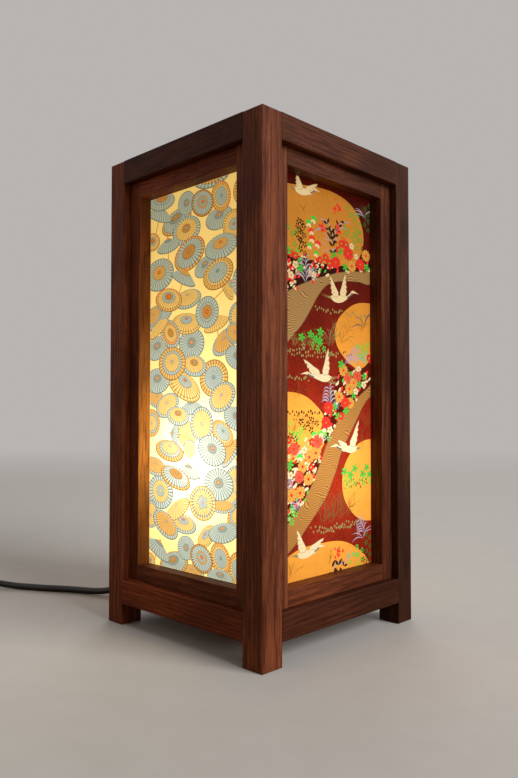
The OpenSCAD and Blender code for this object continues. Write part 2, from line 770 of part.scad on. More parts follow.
// Flat bands round the whole bundle of turns, one on each side of the coil.
module coil_ties() {
    slack = 0.35;
    low = coil_in_r - lead_r - slack;
    width = coil_out_r - coil_in_r + lead_d + 2 * slack;
    height = loop_step + lead_d + 2 * slack;
    r = 2;
    color([0.08, 0.08, 0.09]) for (angle = tie_angles)
        translate([coil_at[0], coil_at[1], tie_t]) rotate(angle) translate([low, tie_w / 2, 0])
            rotate([90, 0, 0]) linear_extrude(tie_w) difference() {
                translate([-tie_t, -tie_t]) eased_rect([width + 2 * tie_t, height + 2 * tie_t],
                    [r, r, r, r]);
                eased_rect([width, height], [r / 2, r / 2, r / 2, r / 2]);
            }
}

module at_plug() translate(relief_at) rotate(plug_heading) translate([0, 0, plug_z]) children();

// Moulded two-pin plug with a ribbed, tapered relief behind it.
module plug_body() {
    bevel = 3;
    corner = 1;
    tail_w = 13;
    lap = 2;
    neck_x = relief_l + 0.18 * plug_l;
    shoulder_x = relief_l + 0.6 * plug_l;
    x1 = relief_l + plug_l;
    color(BLACK) at_plug() difference() {
        union() {
            rotate([0, 90, 0]) tapered_relief(relief_l);
            intersection() {
                translate([0, 0, -plug_t / 2]) linear_extrude(plug_t) polygon([
                    [relief_l - lap, -tail_w / 2], [neck_x, -tail_w / 2],
                    [shoulder_x, -plug_w / 2], [x1 - corner, -plug_w / 2],
                    [x1, -plug_w / 2 + corner], [x1, plug_w / 2 - corner],
                    [x1 - corner, plug_w / 2], [shoulder_x, plug_w / 2],
                    [neck_x, tail_w / 2], [relief_l - lap, tail_w / 2]]);
                rotate([90, 0, 90]) linear_extrude(2 * x1) polygon([
                    [-plug_w / 2, -plug_t / 2 + bevel], [-plug_w / 2 + bevel, -plug_t / 2],
                    [plug_w / 2 - bevel, -plug_t / 2], [plug_w / 2, -plug_t / 2 + bevel],
                    [plug_w / 2, plug_t / 2 - bevel], [plug_w / 2 - bevel, plug_t / 2],
                    [-plug_w / 2 + bevel, plug_t / 2], [-plug_w / 2, plug_t / 2 - bevel]]);
            }
        }
        rotate([0, 90, 0]) cylinder(r = lead_r + lead_clear, h = 3 * entry, center = true);
        plug_pin_places() {
            translate([0, 0, -pin_root_l]) cylinder(r = pin_root_r, h = pin_root_l - pin_skin);
            cylinder(r = pin_neck_r, h = 2 * pin_root_l, center = true);
        }
    }
}

pin_neck_r = pin_r + 0.3; // through the plug's face
pin_root_r = pin_r + 0.9;
pin_root_l = 9;
pin_skin = 2; // plug left in front of a pin's root
pin_nose = 1.2;

// Where each pin leaves the plug's face, with +Z pointing out.
module plug_pin_places() for (y = [-1, 1])
    translate([relief_l + plug_l, y * pin_spacing / 2, 0]) rotate([0, 90, 0]) children();

module plug_pins() {
    color(STEEL) at_plug() plug_pin_places() {
        rotate_extrude() polygon([[0, -pin_root_l], [pin_root_r, -pin_root_l],
            [pin_root_r, -pin_skin], [pin_neck_r, -pin_skin], [pin_neck_r, 0], [pin_r, 0],
            [pin_r, pin_l - pin_nose], [pin_r - pin_nose / 2, pin_l], [0, pin_l]]);
    }
}

lamp_post("front");  // post_front_right
lamp_post("right");  // post_back_right
lamp_post("back");  // post_back_left
lamp_post("left");  // post_front_left
top_rail("front");  // top_rail_front
top_rail("right");  // top_rail_right
top_rail("back");  // top_rail_back
top_rail("left");  // top_rail_left
bottom_rail("front");  // bottom_rail_front
bottom_rail("right");  // bottom_rail_right
bottom_rail("back");  // bottom_rail_back
bottom_rail("left");  // bottom_rail_left
stile("front", -1);  // front_stile_left
stile("front", 1);  // front_stile_right
stile("right", -1);  // right_stile_left
stile("right", 1);  // right_stile_right
stile("back", -1);  // back_stile_left
stile("back", 1);  // back_stile_right
stile("left", -1);  // left_stile_left
stile("left", 1);  // left_stile_right
panel_member("front", top_rail_bottom - member_w);  // front_panel_top
panel_member("front", bottom_rail_top);  // front_panel_bottom
panel_member("right", top_rail_bottom - member_w);  // right_panel_top
panel_member("right", bottom_rail_top);  // right_panel_bottom
panel_member("back", top_rail_bottom - member_w);  // back_panel_top
panel_member("back", bottom_rail_top);  // back_panel_bottom
panel_member("left", top_rail_bottom - member_w);  // left_panel_top
panel_member("left", bottom_rail_top);  // left_panel_bottom
paper("front");  // front_paper
paper("right");  // right_paper
paper("back");  // back_paper
paper("left");  // left_paper
diffuser("front");  // front_diffuser
diffuser("right");  // right_diffuser
diffuser("back");  // back_diffuser
diffuser("left");  // left_diffuser
base_board();
base_cleats();
wood_screws();
holder_base();
holder_skirt();
holder_screw_shell();
holder_contact();
holder_terminals();
bulb_globe();
bulb_body();
bulb_cap();
bulb_tip();
lead_grommet();
lead_clip();
lead_inside();
lead_free();
switch_base();
switch_cover();
switch_rocker();
switch_contacts();
lead_coil();
coil_ties();
plug_body();
plug_pins();
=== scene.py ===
# %% [markdown]
# ## A wooden table lamp with lit paper panels
# The lamp is a square frame of dark oiled walnut with a sheet of patterned paper
# behind each side. Two sides have a cream paper strewn with parasols, and two have a
# maroon paper with gold hills, streams, cranes and flowers. The exact solids
# were made before this lesson. Here each of them gets its finish, and what a solid
# modeller draws badly is added: the flex and the printed papers.

import bpy
import math
import random
from mathutils import Matrix, Vector


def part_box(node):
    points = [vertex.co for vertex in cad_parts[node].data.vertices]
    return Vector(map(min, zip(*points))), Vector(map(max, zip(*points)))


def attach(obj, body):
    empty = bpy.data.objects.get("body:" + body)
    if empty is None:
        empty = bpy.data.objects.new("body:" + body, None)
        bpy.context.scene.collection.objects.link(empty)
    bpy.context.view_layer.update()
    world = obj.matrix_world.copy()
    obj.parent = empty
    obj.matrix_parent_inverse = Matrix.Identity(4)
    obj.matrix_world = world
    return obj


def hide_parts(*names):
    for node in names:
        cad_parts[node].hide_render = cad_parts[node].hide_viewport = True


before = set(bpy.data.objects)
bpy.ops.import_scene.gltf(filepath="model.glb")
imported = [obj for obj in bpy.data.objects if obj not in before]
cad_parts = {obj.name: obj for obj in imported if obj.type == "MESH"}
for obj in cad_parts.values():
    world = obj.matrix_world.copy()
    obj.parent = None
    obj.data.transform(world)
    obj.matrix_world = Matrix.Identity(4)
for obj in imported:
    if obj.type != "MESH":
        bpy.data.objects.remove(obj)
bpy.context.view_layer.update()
MM = 0.001

# %% [markdown]
# ### The camera
# The photograph was taken from close by and a little below the lamp's middle, so
# that one corner points almost at the lens. The place and the lens below came from
# fitting the lamp's straight edges. Aiming along a direction keeps the upright
# posts as upright as they are in the photograph.

# %% Camera at the photograph's place
camera_at = Vector((0.4423, -0.4529, 0.1818))
looking_along = Vector((-0.69961, 0.71382, 0.03157))
bpy.ops.object.camera_add(location=camera_at)
camera = bpy.context.object
camera.name = "photo_camera"
camera.rotation_euler = looking_along.to_track_quat("-Z", "Y").to_euler()
camera.data.lens = 33.199
camera.data.sensor_width = 36
camera.data.sensor_fit = "AUTO"
bpy.context.scene.camera = camera
bpy.context.scene.view_settings.view_transform = "Standard"
print("camera", tuple(round(v, 3) for v in camera.location))

# %% [markdown]
# ### Small helpers for modelling
# An operator works on whatever is selected, so each step starts with nothing
# selected. A finished piece has its object at the origin and its place in its mesh,
# which keeps the patterns of the finishes where they belong.


# %% Select and join
def deselect():
    if bpy.context.object and bpy.context.object.mode != "OBJECT":
        bpy.ops.object.mode_set(mode="OBJECT")
    bpy.ops.object.select_all(action="DESELECT")


def pick(*pieces):
    """Select just these pieces, the last one active."""
    deselect()
    for piece in pieces:
        piece.select_set(True)
    bpy.context.view_layer.objects.active = pieces[-1]


def join(name, *pieces):
    pick(*pieces)
    bpy.ops.object.join()
    joined = bpy.context.object
    joined.name = joined.data.name = name
    return joined


def fit(piece, body):
    """The piece rides on a body."""
    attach(piece, body)


print("modelling helpers ready")

# %% [markdown]
# ### The flex
# A table lamp has about 1.8 m of round 6.5 mm flex. The first stretch is the one in
# the photograph: it leaves the lamp's left side through a rubber relief, drops to
# the table in a slack curve and runs out of the picture to a switch. The rest is
# wound up and tied as it would be for storage. A curve with a round bevel is the
# natural way to make a flex, because its line is the flex's real centreline.

# %% Lines that the flex follows
LEAD_D = 6.5
LEAD_ROUTE = [(-94, 0, 27.5), (-105, 0, 27.5), (-116, 0, 27.5), (-125, -1, 26.6),
              (-134, -5, 23.9), (-141, -12.5, 19.8), (-146, -22.5, 15.3),
              (-151, -32, 11.2), (-157, -41, 7.6), (-165.5, -48, 5.2),
              (-176, -53.5, 3.9), (-188, -58.5, 3.4), (-201, -65, 3.3),
              (-213, -72.5, 3.3), (-225, -80.5, 3.3), (-238, -88, 3.3),
              (-251, -95.5, 3.4), (-262, -102.5, 4.2), (-271, -110, 5.8),
              (-277, -118, 7.4), (-281, -126, 8), (-285, -135, 8)]
SWITCH_L, SWITCH_H, ENTRY = 56, 16, 4
PLUG_T, TIE_T = 13.7, 1.2
COIL_TURNS, COIL_R, LOOP_STEP = 5.375, 39, 6.95
LEAD_IN, LEAD_OUT = 34, 46


def heading(degrees):
    return Vector((math.cos(math.radians(degrees)), math.sin(math.radians(degrees))))


def ramp(u):
    v = min(max(u, 0), 1)
    return v * v * (3 - 2 * v)


def on_run(start, degrees, distance, z):
    flat = start + distance * heading(degrees)
    return (flat.x, flat.y, z)


lead_end = Vector(LEAD_ROUTE[-1][:2])
switch_heading = math.degrees(math.atan2(-9, -4))
switch_end = lead_end + (SWITCH_L - ENTRY) * heading(switch_heading)
coil_start = switch_heading - 90
coil_in_r = COIL_R - LOOP_STEP * COIL_TURNS / 4
coil_out_r = COIL_R + LOOP_STEP * COIL_TURNS / 4
coil_z = [TIE_T + 0.3 + LEAD_D / 2, TIE_T + 0.3 + LEAD_D / 2 + LOOP_STEP]
coil_at = switch_end + LEAD_IN * heading(switch_heading) - coil_out_r * heading(coil_start)
plug_heading = coil_start + 360 * COIL_TURNS + 90
coil_end = coil_at + coil_out_r * heading(plug_heading - 90)
relief_at = coil_end + LEAD_OUT * heading(plug_heading)


def coil_point(turns):
    """In on the first layer, out on the second, with a climb round the middle."""
    u = turns - COIL_TURNS / 2
    flat = coil_at + (coil_in_r + LOOP_STEP * abs(u)) * heading(coil_start + 360 * turns)
    return (flat.x, flat.y, coil_z[0] + LOOP_STEP * ramp(2 * u + 0.5))


COIL_ROUTE = [on_run(switch_end, switch_heading, -ENTRY, SWITCH_H / 2)]
for t in (0.18, 0.38, 0.59, 0.79):
    drop = (coil_z[0] - SWITCH_H / 2) * ramp((t - 0.18) / 0.7)
    COIL_ROUTE.append(on_run(switch_end, switch_heading, t * LEAD_IN, SWITCH_H / 2 + drop))
COIL_ROUTE += [coil_point(i / 24) for i in range(int(COIL_TURNS * 24) + 1)]
for t in (0.17, 0.35, 0.52, 0.7, 0.87):
    drop = (PLUG_T / 2 - coil_z[1]) * ramp((t - 0.09) / 0.78)
    COIL_ROUTE.append(on_run(coil_end, plug_heading, t * LEAD_OUT, coil_z[1] + drop))
COIL_ROUTE.append(on_run(relief_at, plug_heading, ENTRY, PLUG_T / 2))


def route_length(route):
    return sum((Vector(b) - Vector(a)).length for a, b in zip(route, route[1:])) * MM


print("free", round(route_length(LEAD_ROUTE), 3), "coiled", round(route_length(COIL_ROUTE), 3))


# %% The two stretches as round curves
def flex(name, route):
    """A round curve through the points of a route."""
    deselect()
    bpy.ops.curve.primitive_bezier_curve_add()
    piece = bpy.context.object
    piece.name = piece.data.name = name
    line = piece.data.splines[0]
    line.bezier_points.add(len(route) - 2)
    for knot, place in zip(line.bezier_points, route):
        knot.co = Vector(place) * MM
        knot.handle_left_type = knot.handle_right_type = "AUTO"
        knot.radius = LEAD_D / 2 * MM
    piece.data.resolution_u = piece.data.render_resolution_u = 4
    piece.data.bevel_depth = 1
    piece.data.bevel_resolution = 3
    piece.data.use_fill_caps = True
    return piece


lead_flex = flex("lead_flex", LEAD_ROUTE)
fit(lead_flex, "root")
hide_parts("lead_free")
coil_flex = flex("coil_flex", COIL_ROUTE)
fit(coil_flex, "root")
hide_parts("lead_coil")
tuple(Vector(COIL_ROUTE[0]) * MM)
print("flex pieces", lead_flex.name, coil_flex.name)

# %% [markdown]
# ### Finishes as sums
# A finish is a small program that works out a colour for each point. The Link class
# wraps a socket, so that finishes can be written as sums: each operator adds
# the Math node for it. Colours go through Mix nodes, because a Math node would turn
# them grey. Object coordinates are in metres from the lamp's foot, so a pattern has
# its real size and place.


# %% A socket that can be used in sums
def sum_node(operation, swapped=False):
    """A method that adds a Math node of this kind behind its socket."""
    def method(self, *others):
        values = (self, *others)
        return self.finish.math(operation, *(values[::-1] if swapped else values))
    return method


class Link:
    def __init__(self, finish, socket):
        self.finish = finish
        self.socket = socket

    __add__ = __radd__ = sum_node("ADD")
    __mul__ = __rmul__ = sum_node("MULTIPLY")
    __sub__, __rsub__ = sum_node("SUBTRACT"), sum_node("SUBTRACT", swapped=True)
    __truediv__, __rtruediv__ = sum_node("DIVIDE"), sum_node("DIVIDE", swapped=True)
    __pow__, root, sine = sum_node("POWER"), sum_node("SQRT"), sum_node("SINE")
    whole, fraction = sum_node("FLOOR"), sum_node("FRACT")
    over, under = sum_node("GREATER_THAN"), sum_node("LESS_THAN")
    at_least, at_most = sum_node("MAXIMUM"), sum_node("MINIMUM")

    def distance_from(self, value):
        return self.finish.math("ABSOLUTE", self - value)

    def step(self, low, high):
        """0 up to low, 1 from high on, and smooth between them."""
        return self.finish.node("ShaderNodeMapRange", {"interpolation_type": "SMOOTHSTEP"},
                                {"Value": self, "From Min": low, "From Max": high})


# %% A finish, with its nodes and its surface
BULB_Z = 0.143  # the middle of the bulb's light, in metres above the table


class Finish:
    def __init__(self, name, world=None):
        self.material = world or bpy.data.materials.new(name)
        self.material.use_nodes = True
        self.tree = self.material.node_tree
        self.shader = self.tree.nodes.get("Principled BSDF")

    def node(self, kind, settings=None, inputs=None, output=0):
        """Add a node: its settings first, then the values or links of its sockets."""
        made = self.tree.nodes.new(kind)
        for key, value in (settings or {}).items():
            setattr(made, key, value)
        for key, value in (inputs or {}).items():
            self.feed(made.inputs[key], value)
        return Link(self, made.outputs[output])

    def feed(self, socket, value):
        if isinstance(value, Link):
            self.tree.links.new(value.socket, socket)
        elif hasattr(socket.default_value, "__len__") and len(socket.default_value) == 4:
            socket.default_value = (*value, 1)
        else:
            socket.default_value = value

    def math(self, operation, *values):
        return self.node("ShaderNodeMath", {"operation": operation}, dict(enumerate(values)))

    def point(self, x, y, z):
        return self.node("ShaderNodeCombineXYZ", inputs={0: x, 1: y, 2: z})

    def parts(self, vector):
        node = self.node("ShaderNodeSeparateXYZ", inputs={0: vector}).socket.node
        return [Link(self, output) for output in node.outputs]

    def place(self):
        """Object coordinates, in metres, as x, y, z."""
        return self.parts(self.node("ShaderNodeTexCoord", output="Object"))

    def from_bulb(self):
        """The distance from the middle of the bulb, in metres."""
        x, y, z = self.place()
        up = z - BULB_Z
        return (x * x + y * y + up * up).root()

    def noise(self, scale, detail=2.0, roughness=0.5, where=None):
        where = where or self.node("ShaderNodeTexCoord", output="Object")
        return self.node("ShaderNodeTexNoise", {"noise_dimensions": "3D"},
                         {"Vector": where, "Scale": scale, "Detail": detail,
                          "Roughness": roughness})

    def mix(self, share, first, second, blend="MIX"):
        """second over first by a share, for colours."""
        return self.node("ShaderNodeMix", {"data_type": "RGBA", "blend_type": blend},
                         {0: share, 6: first, 7: second}, output=2)

    def scaled(self, colour, amount):
        """A colour times a number."""
        return self.node("ShaderNodeVectorMath", {"operation": "SCALE"},
                         {0: colour, "Scale": amount})

    def bands(self, value, stops):
        """Flat bands of colour, each from its own place on."""
        bands = self.node("ShaderNodeValToRGB", inputs={"Fac": value})
        ramp = bands.socket.node.color_ramp
        ramp.interpolation = "CONSTANT"
        while len(ramp.elements) < len(stops):
            ramp.elements.new(1)
        for stop, (place, colour) in zip(ramp.elements, stops):
            stop.position, stop.color = place, (*colour, 1)
        return bands

    def bump(self, height, strength, distance):
        self.surface(Normal=self.node("ShaderNodeBump", inputs={
            "Height": height, "Strength": strength, "Distance": distance}))

    def surface(self, **sockets):
        for key, value in sockets.items():
            self.feed(self.shader.inputs[key.replace("_", " ")], value)
        return self.material

    def rays(self, *kinds):
        """1 for rays of these kinds, such as Camera, and 0 for others."""
        path = self.node("ShaderNodeLightPath").socket.node
        first, *others = [Link(self, path.outputs["Is " + kind + " Ray"]) for kind in kinds]
        for other in others:
            first = first.at_least(other)
        return first

    def send(self, shader):
        """Send this shader to the output."""
        output = next(node for node in self.tree.nodes if node.type.startswith("OUTPUT"))
        self.feed(output.inputs["Surface"], shader)


def wear(material, *pieces):
    """Give the pieces this material alone. A name stands for a CAD node."""
    for piece in pieces:
        if isinstance(piece, str):
            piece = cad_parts[piece]
        piece.data.materials.clear()
        piece.data.materials.append(material)


def from_screen(red, green, blue):
    """A colour as seen on a screen, turned to the linear light that shaders use."""
    return tuple(((c / 255 + 0.055) / 1.055) ** 2.4 if c > 10 else c / 255 / 12.92
                 for c in (red, green, blue))


def toned(colour, share=0.5):
    """The same colour, darker or lighter by a share."""
    return tuple(c * share for c in colour)


print("finish helpers ready")

# %% [markdown]
# ### Walnut
# The frame is oiled black walnut: red-brown with darker bands, fine dark pores that
# run along the grain, and a satin face. A solid texture suits it, because the same
# growth rings then show as straight or flamed figure on the faces and as arcs on the
# ends of the posts. Each piece is cut from another place in the tree, so each gets
# its own heart line and its own drift of tone.

# %% One board of walnut
RING_STEP = 0.0034  # metres from one growth ring to the next
LAMPLIT_FACE = 0.0603  # a stile's narrow face lies this far from the lamp's middle
BULB_TO_STILE = 0.1008  # the shortest way, in metres
LIT_TINT = (2.9, 4.3, 1.6)


# The tone and redness that walnut takes are a tone by chance, or painted light and shade for a
# piece that is lit more or less than the rest.
def walnut(name, along, heart, tone_and_painted_light=1.0, red=1.0, figure=1.0, lamplit=False):
    """along is the grain's axis, heart is how far off the tree's middle lies, in metres.

    A lamplit stile gets painted lamp light on its narrow face beside the lit paper, as a glow."""
    wood = Finish(name)
    x, y, z = wood.place()
    grain = {"x": x, "y": y, "z": z}[along]
    across = {"x": (y, z), "y": (x, z), "z": (x, y)}[along]
    side, depth = (across[0] + heart[0], across[1] + heart[1])

    def noise(scale, detail, roughness=0.5, wide=1, long=1):
        """Noise whose place is counted wide across the grain and long along it."""
        where = wood.point(side * wide, depth * wide, grain * long)
        return wood.noise(scale, detail, roughness, where)

    wander = noise(1.6, 3, 0.45, wide=9, long=2.2)
    ripple = noise(2.0, 2, wide=30, long=9)
    reach = (side * side + depth * depth).root() + wander * (0.022 * figure) + ripple * 0.0016
    ring = (reach / RING_STEP).fraction()
    late = ring.step(0.35, 0.93) * (1 - ring.step(0.94, 1.0))
    fibre = noise(1500, 3, 0.65, long=0.035)
    pores = noise(2600, 1, long=0.05).step(0.60, 0.70)
    streak = noise(780, 3, 0.6, long=0.036)
    drift = noise(22, 3, wide=1.4, long=0.5)
    light = toned((0.235 * red, 0.067, 0.027 / red), tone_and_painted_light)
    dark = toned((0.072 * red, 0.0162, 0.0066 / red), tone_and_painted_light)
    colour = wood.mix(late * 0.58, light, dark)
    for share, shade in ((drift.step(0.40, 0.66) * 0.60, 0.62),
                         (streak.step(0.49, 0.62) * 0.68, 0.66),
                         (fibre.step(0.35, 0.75) * 0.45, 0.80), (pores * 0.60, 0.26)):
        colour = wood.mix(share, colour, toned(dark, shade))
    wood.bump(pores * -0.6 + fibre * 0.35, 0.35, 0.00025)
    # Painted light: the lamp light from the paper, as a warm glow on the stile's narrow face that
    # fades with the distance from the bulb.
    if lamplit:
        beside = x.distance_from(0).under(LAMPLIT_FACE)
        near = (BULB_TO_STILE / wood.from_bulb()).at_most(1)
        lit = wood.mix(1.0, colour, LIT_TINT, "MULTIPLY")
        wood.surface(Emission_Color=wood.scaled(lit, near ** 4 * beside), Emission_Strength=1.0)
    return wood.surface(Base_Color=colour, Roughness=0.40 + fibre * 0.16 + pores * 0.2,
                        Specular_IOR_Level=0.12)


# %% Every wooden piece of the frame
draw = random.Random(11)


def a_heart(least=0.05, most=0.12):
    """A heart line outside the piece, in a random direction."""
    turn = draw.uniform(0, 2 * math.pi)
    reach = draw.uniform(least, most)
    return (reach * math.cos(turn), reach * math.sin(turn))


SIDES = {"front": 0, "right": 1, "back": 2, "left": 3}  # quarter turns from the front
# Painted light and shade: these pieces are made lighter, darker or redder by how the light falls
# on them.
PAINTED_LIGHT_TONES = {  # lightness and redness of the pieces that differ in the photograph
    "post_front_right": (1.12, 1.02), "post_back_right": (0.44, 0.90),
    "post_front_left": (1.02, 1.10), "top_rail_front": (0.36, 1.2),
    "bottom_rail_front": (1.05, 1.30), "top_rail_right": (0.57, 0.98),
    "bottom_rail_right": (0.41, 1.06), "front_stile_left": (0.80, 1.2),
    "right_panel_bottom": (1.0, 1.1), "front_panel_top": (1.1, 1.3),
    "right_stile_right": (0.65, 1.0),
}


def finish_board(name, along, heart, **look):
    """Walnut with the piece's painted light and shade, or a tone by chance that is the same on
    every run.
    """
    low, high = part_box(name)
    middle = (low + high) / 2
    flat = {"x": (middle.y, middle.z), "y": (middle.x, middle.z), "z": (middle.x, middle.y)}
    offset = (heart[0] - flat[along][0], heart[1] - flat[along][1])
    chance = (draw.uniform(0.8, 1.2), draw.uniform(0.92, 1.1))
    tone_and_painted_light, red = PAINTED_LIGHT_TONES.get(name, chance)
    wear(walnut("walnut_" + name, along, offset, tone_and_painted_light, red, **look), name)


for name in ("post_front_right", "post_back_right", "post_back_left", "post_front_left"):
    finish_board(name, "z", a_heart())
for side, turns in SIDES.items():
    for name in ("top_rail_" + side, "bottom_rail_" + side,
                 side + "_panel_top", side + "_panel_bottom"):
        finish_board(name, "y" if turns % 2 else "x", a_heart(0.03, 0.08), figure=1.5)
    for name in (side + "_stile_left", side + "_stile_right"):
        finish_board(name, "z", a_heart(), lamplit=side in ("front", "back"))
print("walnut finishes", sum(m.name.startswith("walnut_") for m in bpy.data.materials))

# %% [markdown]
# ### Paper with a lamp behind it
# What reaches the eye from the lit paper is ink times the light behind it, painted as the paper's
# glow. The light is strongest in front of the bulb and falls off with the distance from it, and
# near the bulb the bare paper is lit to white while the printed inks only get paler. The inks
# below are the colours seen at a middle level of that light. A little of each ink also reflects
# the room, for when the lamp is off.

# %% Ink lit from behind
BULB_TO_PAPER = 0.0755  # the shortest way, in metres
OVERLIT_WHITE = (4.4, 3.6, 2.5)


def glow(finish):
    """1 on the paper in front of the bulb, less with the distance from the bulb."""
    return (BULB_TO_PAPER / finish.from_bulb()).at_most(1)


def print_on_paper(finish, ink, dim=0.39, gain=2.17, fall=2.0, bleach=1.0, unlit=0.22,
                   grain=0.16):
    """The ink times the light behind it, which is warmer far from the bulb.

    Pale ink goes white in front of the bulb."""
    near = glow(finish)
    green = finish.node("ShaderNodeSeparateColor", inputs={0: ink}, output=1)
    pale = ((green - 0.2) / 0.53).at_least(0).at_most(1)
    warm = finish.mix(near.step(0.30, 0.85), (1.18, 1.06, 0.86), (1, 1, 1))
    lit = finish.scaled(finish.mix(1.0, ink, warm, "MULTIPLY"), near ** fall * gain + dim)
    # Painted light: in front of the bulb the pale ink is lit to white.
    lit = finish.mix(near ** 10 * pale * pale * bleach, lit, OVERLIT_WHITE)
    fibre = finish.noise(900, 3, 0.7)
    lit = finish.scaled(lit, fibre * grain + (1 - grain / 2))
    return finish.surface(Base_Color=finish.scaled(ink, unlit), Emission_Color=lit,
                          Emission_Strength=0.92, Roughness=0.85, Specular_IOR_Level=0.1)


# %% Grounds of the two papers
MAROON = (0.128, 0.0084, 0.0020)


def paper_ground(name, ink, speck, mottled, **light):
    ground = Finish(name)
    cloud, mottle = ground.noise(60, 4, 0.6), ground.noise(560, 3, 0.7)
    share = cloud.step(0.35, 0.7) * 0.45 + mottle.step(0.40, 0.62) * mottled
    return print_on_paper(ground, ground.mix(share.at_most(1), ink, speck), **light)


wear(paper_ground("parasol_paper_ground", from_screen(252, 220, 136), from_screen(246, 210, 124),
                  mottled=0.3, dim=0.49), "front_paper", "back_paper")
wear(paper_ground("crane_paper_ground", MAROON, (0.066, 0.0036, 0.0012), mottled=0.55, dim=0.0,
                  gain=6.9, fall=2.5, bleach=0.0, unlit=0.10, grain=0.5),
     "right_paper", "left_paper")
print("paper grounds lit from", BULB_Z, "m up")

# %% [markdown]
# ### Shapes for a flat print
# Both papers are screen prints in flat opaque inks, so they are built from flat
# shapes. Each one is a closed Bezier line through a few points, filled and made a
# mesh, and it carries its ink as a colour attribute, so one finish prints them all.
# Inks printed later lie on a higher layer, 0.03 mm above the last.

# %% Cut a flat shape and give it its ink
OPEN_W, OPEN_LOW, OPEN_HIGH = 120.0, 52.0, 366.0  # the opening in front of a paper, in mm
FACE = -75.0  # where the front paper's face is
LAYER = 0.03


def discard(*shapes):
    for shape in shapes:
        bpy.data.objects.remove(shape)


def ink(shape, colour, faces=None):
    """Give an ink to the whole shape or to some of its faces."""
    layer = shape.data.color_attributes.get("ink")
    if layer is None:
        layer = shape.data.color_attributes.new("ink", "FLOAT_COLOR", "CORNER")
    for face in shape.data.polygons if faces is None else faces:
        for corner in face.loop_indices:
            layer.data[corner].color = (*colour, 1)
    return shape


def cut_out(points, colour, steps=4):
    """A flat shape on a smooth closed line. A third value in a point makes it a tip."""
    deselect()
    bpy.ops.curve.primitive_bezier_circle_add()
    line = bpy.context.object.data
    line.dimensions, line.fill_mode, line.resolution_u = "2D", "BOTH", steps
    knots = line.splines[0].bezier_points
    knots.add(len(points) - 4)
    for knot, point in zip(knots, points):
        knot.co = (point[0] * MM, point[1] * MM, 0)
        knot.handle_left_type = knot.handle_right_type = "VECTOR" if len(point) > 2 else "AUTO"
    bpy.ops.object.convert(target="MESH")
    shape = bpy.context.object
    if shape.data.polygons[0].normal.z < 0:
        shape.data.flip_normals()
    return ink(shape, colour)


def edged(shape, width, colour):
    """A line of another ink along the shape's own edge."""
    pick(shape)
    bpy.ops.object.mode_set(mode="EDIT")
    bpy.ops.mesh.select_all(action="SELECT")
    bpy.ops.mesh.remove_doubles(threshold=0.001 * MM)
    bpy.ops.mesh.inset(thickness=width * MM)
    bpy.ops.object.mode_set(mode="OBJECT")
    return ink(shape, colour, [face for face in shape.data.polygons if not face.select])


def oval(u, v, wide, high, colour, steps=4):
    turns = [math.pi / 4 * i for i in range(8)]
    return cut_out([(u + wide * math.cos(t), v + high * math.sin(t)) for t in turns],
                   colour, steps)


def move(u, v, layer):
    """To a place on the paper, in mm. layer counts up from the paper."""
    return Matrix.Translation((u * MM, v * MM, layer * LAYER * MM))


def lifted(shape, layer):
    shape.data.transform(move(0, 0, layer))
    return shape


def copied(shape):
    """A copy with its own mesh."""
    copy = shape.copy()
    copy.data = shape.data.copy()
    bpy.context.collection.objects.link(copy)
    return copy


def placed(shape, u=0, v=0, degrees=0, size=1.0, layer=0, mirrored=False, colour=None,
           stretch=(1, 1)):
    """A copy that is turned, scaled and moved."""
    copy = copied(shape)
    if mirrored:
        copy.data.transform(Matrix.Scale(-1, 4, (1, 0, 0)))
        copy.data.flip_normals()
    turn = Matrix.Rotation(math.radians(degrees), 4, "Z") @ Matrix.Scale(size, 4)
    copy.data.transform(move(u, v, layer) @ Matrix.Diagonal((*stretch, 1 / size, 1)) @ turn)
    return ink(copy, colour) if colour else copy


print("opening", OPEN_W, "x", OPEN_HIGH - OPEN_LOW, "mm, layers", LAYER, "mm apart")

# %% Trim to the opening and stand on a side
CLEAR = 0.05  # a print stays this far inside the opening, in mm


def trim(piece):
    """Cut away what lies outside the opening of the front panel frame."""
    pick(piece)
    bpy.ops.object.mode_set(mode="EDIT")
    edge = (OPEN_W / 2 - CLEAR) * MM
    low, high = (OPEN_LOW + CLEAR) * MM, (OPEN_HIGH - CLEAR) * MM
    for at, normal in (((edge, 0, 0), (1, 0, 0)), ((-edge, 0, 0), (-1, 0, 0)),
                       ((0, 0, high), (0, 0, 1)), ((0, 0, low), (0, 0, -1))):
        bpy.ops.mesh.select_all(action="SELECT")
        bpy.ops.mesh.bisect(plane_co=at, plane_no=normal, clear_outer=True)
    bpy.ops.object.mode_set(mode="OBJECT")


def print_layer(shapes, name, side):
    """Join flat shapes, stand them up in front of the paper, trim and turn them."""
    art = join(name + "_" + side, *shapes)
    upright = Matrix.Translation((0, FACE * MM, 0)) @ Matrix.Rotation(math.pi / 2, 4, "X")
    art.data.transform(upright)
    trim(art)
    art.data.transform(Matrix.Rotation(math.pi / 2 * SIDES[side], 4, "Z"))
    fit(art, "root")
    print(art.name, len(shapes), "shapes", len(art.data.polygons), "faces")


def read_ink(name):
    """A print that takes its colour from the shapes' ink."""
    print_ = Finish(name)
    return print_, print_.node("ShaderNodeAttribute", {"attribute_name": "ink"}, output="Color")


# %% [markdown]
# ### Parasols
# The cream paper shows oiled-paper parasols some 30 mm across, tipped this way and
# that and lying over each other. One round sheet is modelled as rings about a hub.
# Its UV map holds the turns round the hub and the share of the way out to the rim,
# so one finish draws ribs and bands on all of them. Each copy is squashed along one
# axis and its hub pushed the same way, which is how a shallow cone looks when it is
# tipped. Squashed more it is a parasol seen from the side.

# %% One parasol sheet
RIBS = 28
HUB = 0.01  # corners nearer than this share of the way out are the hub


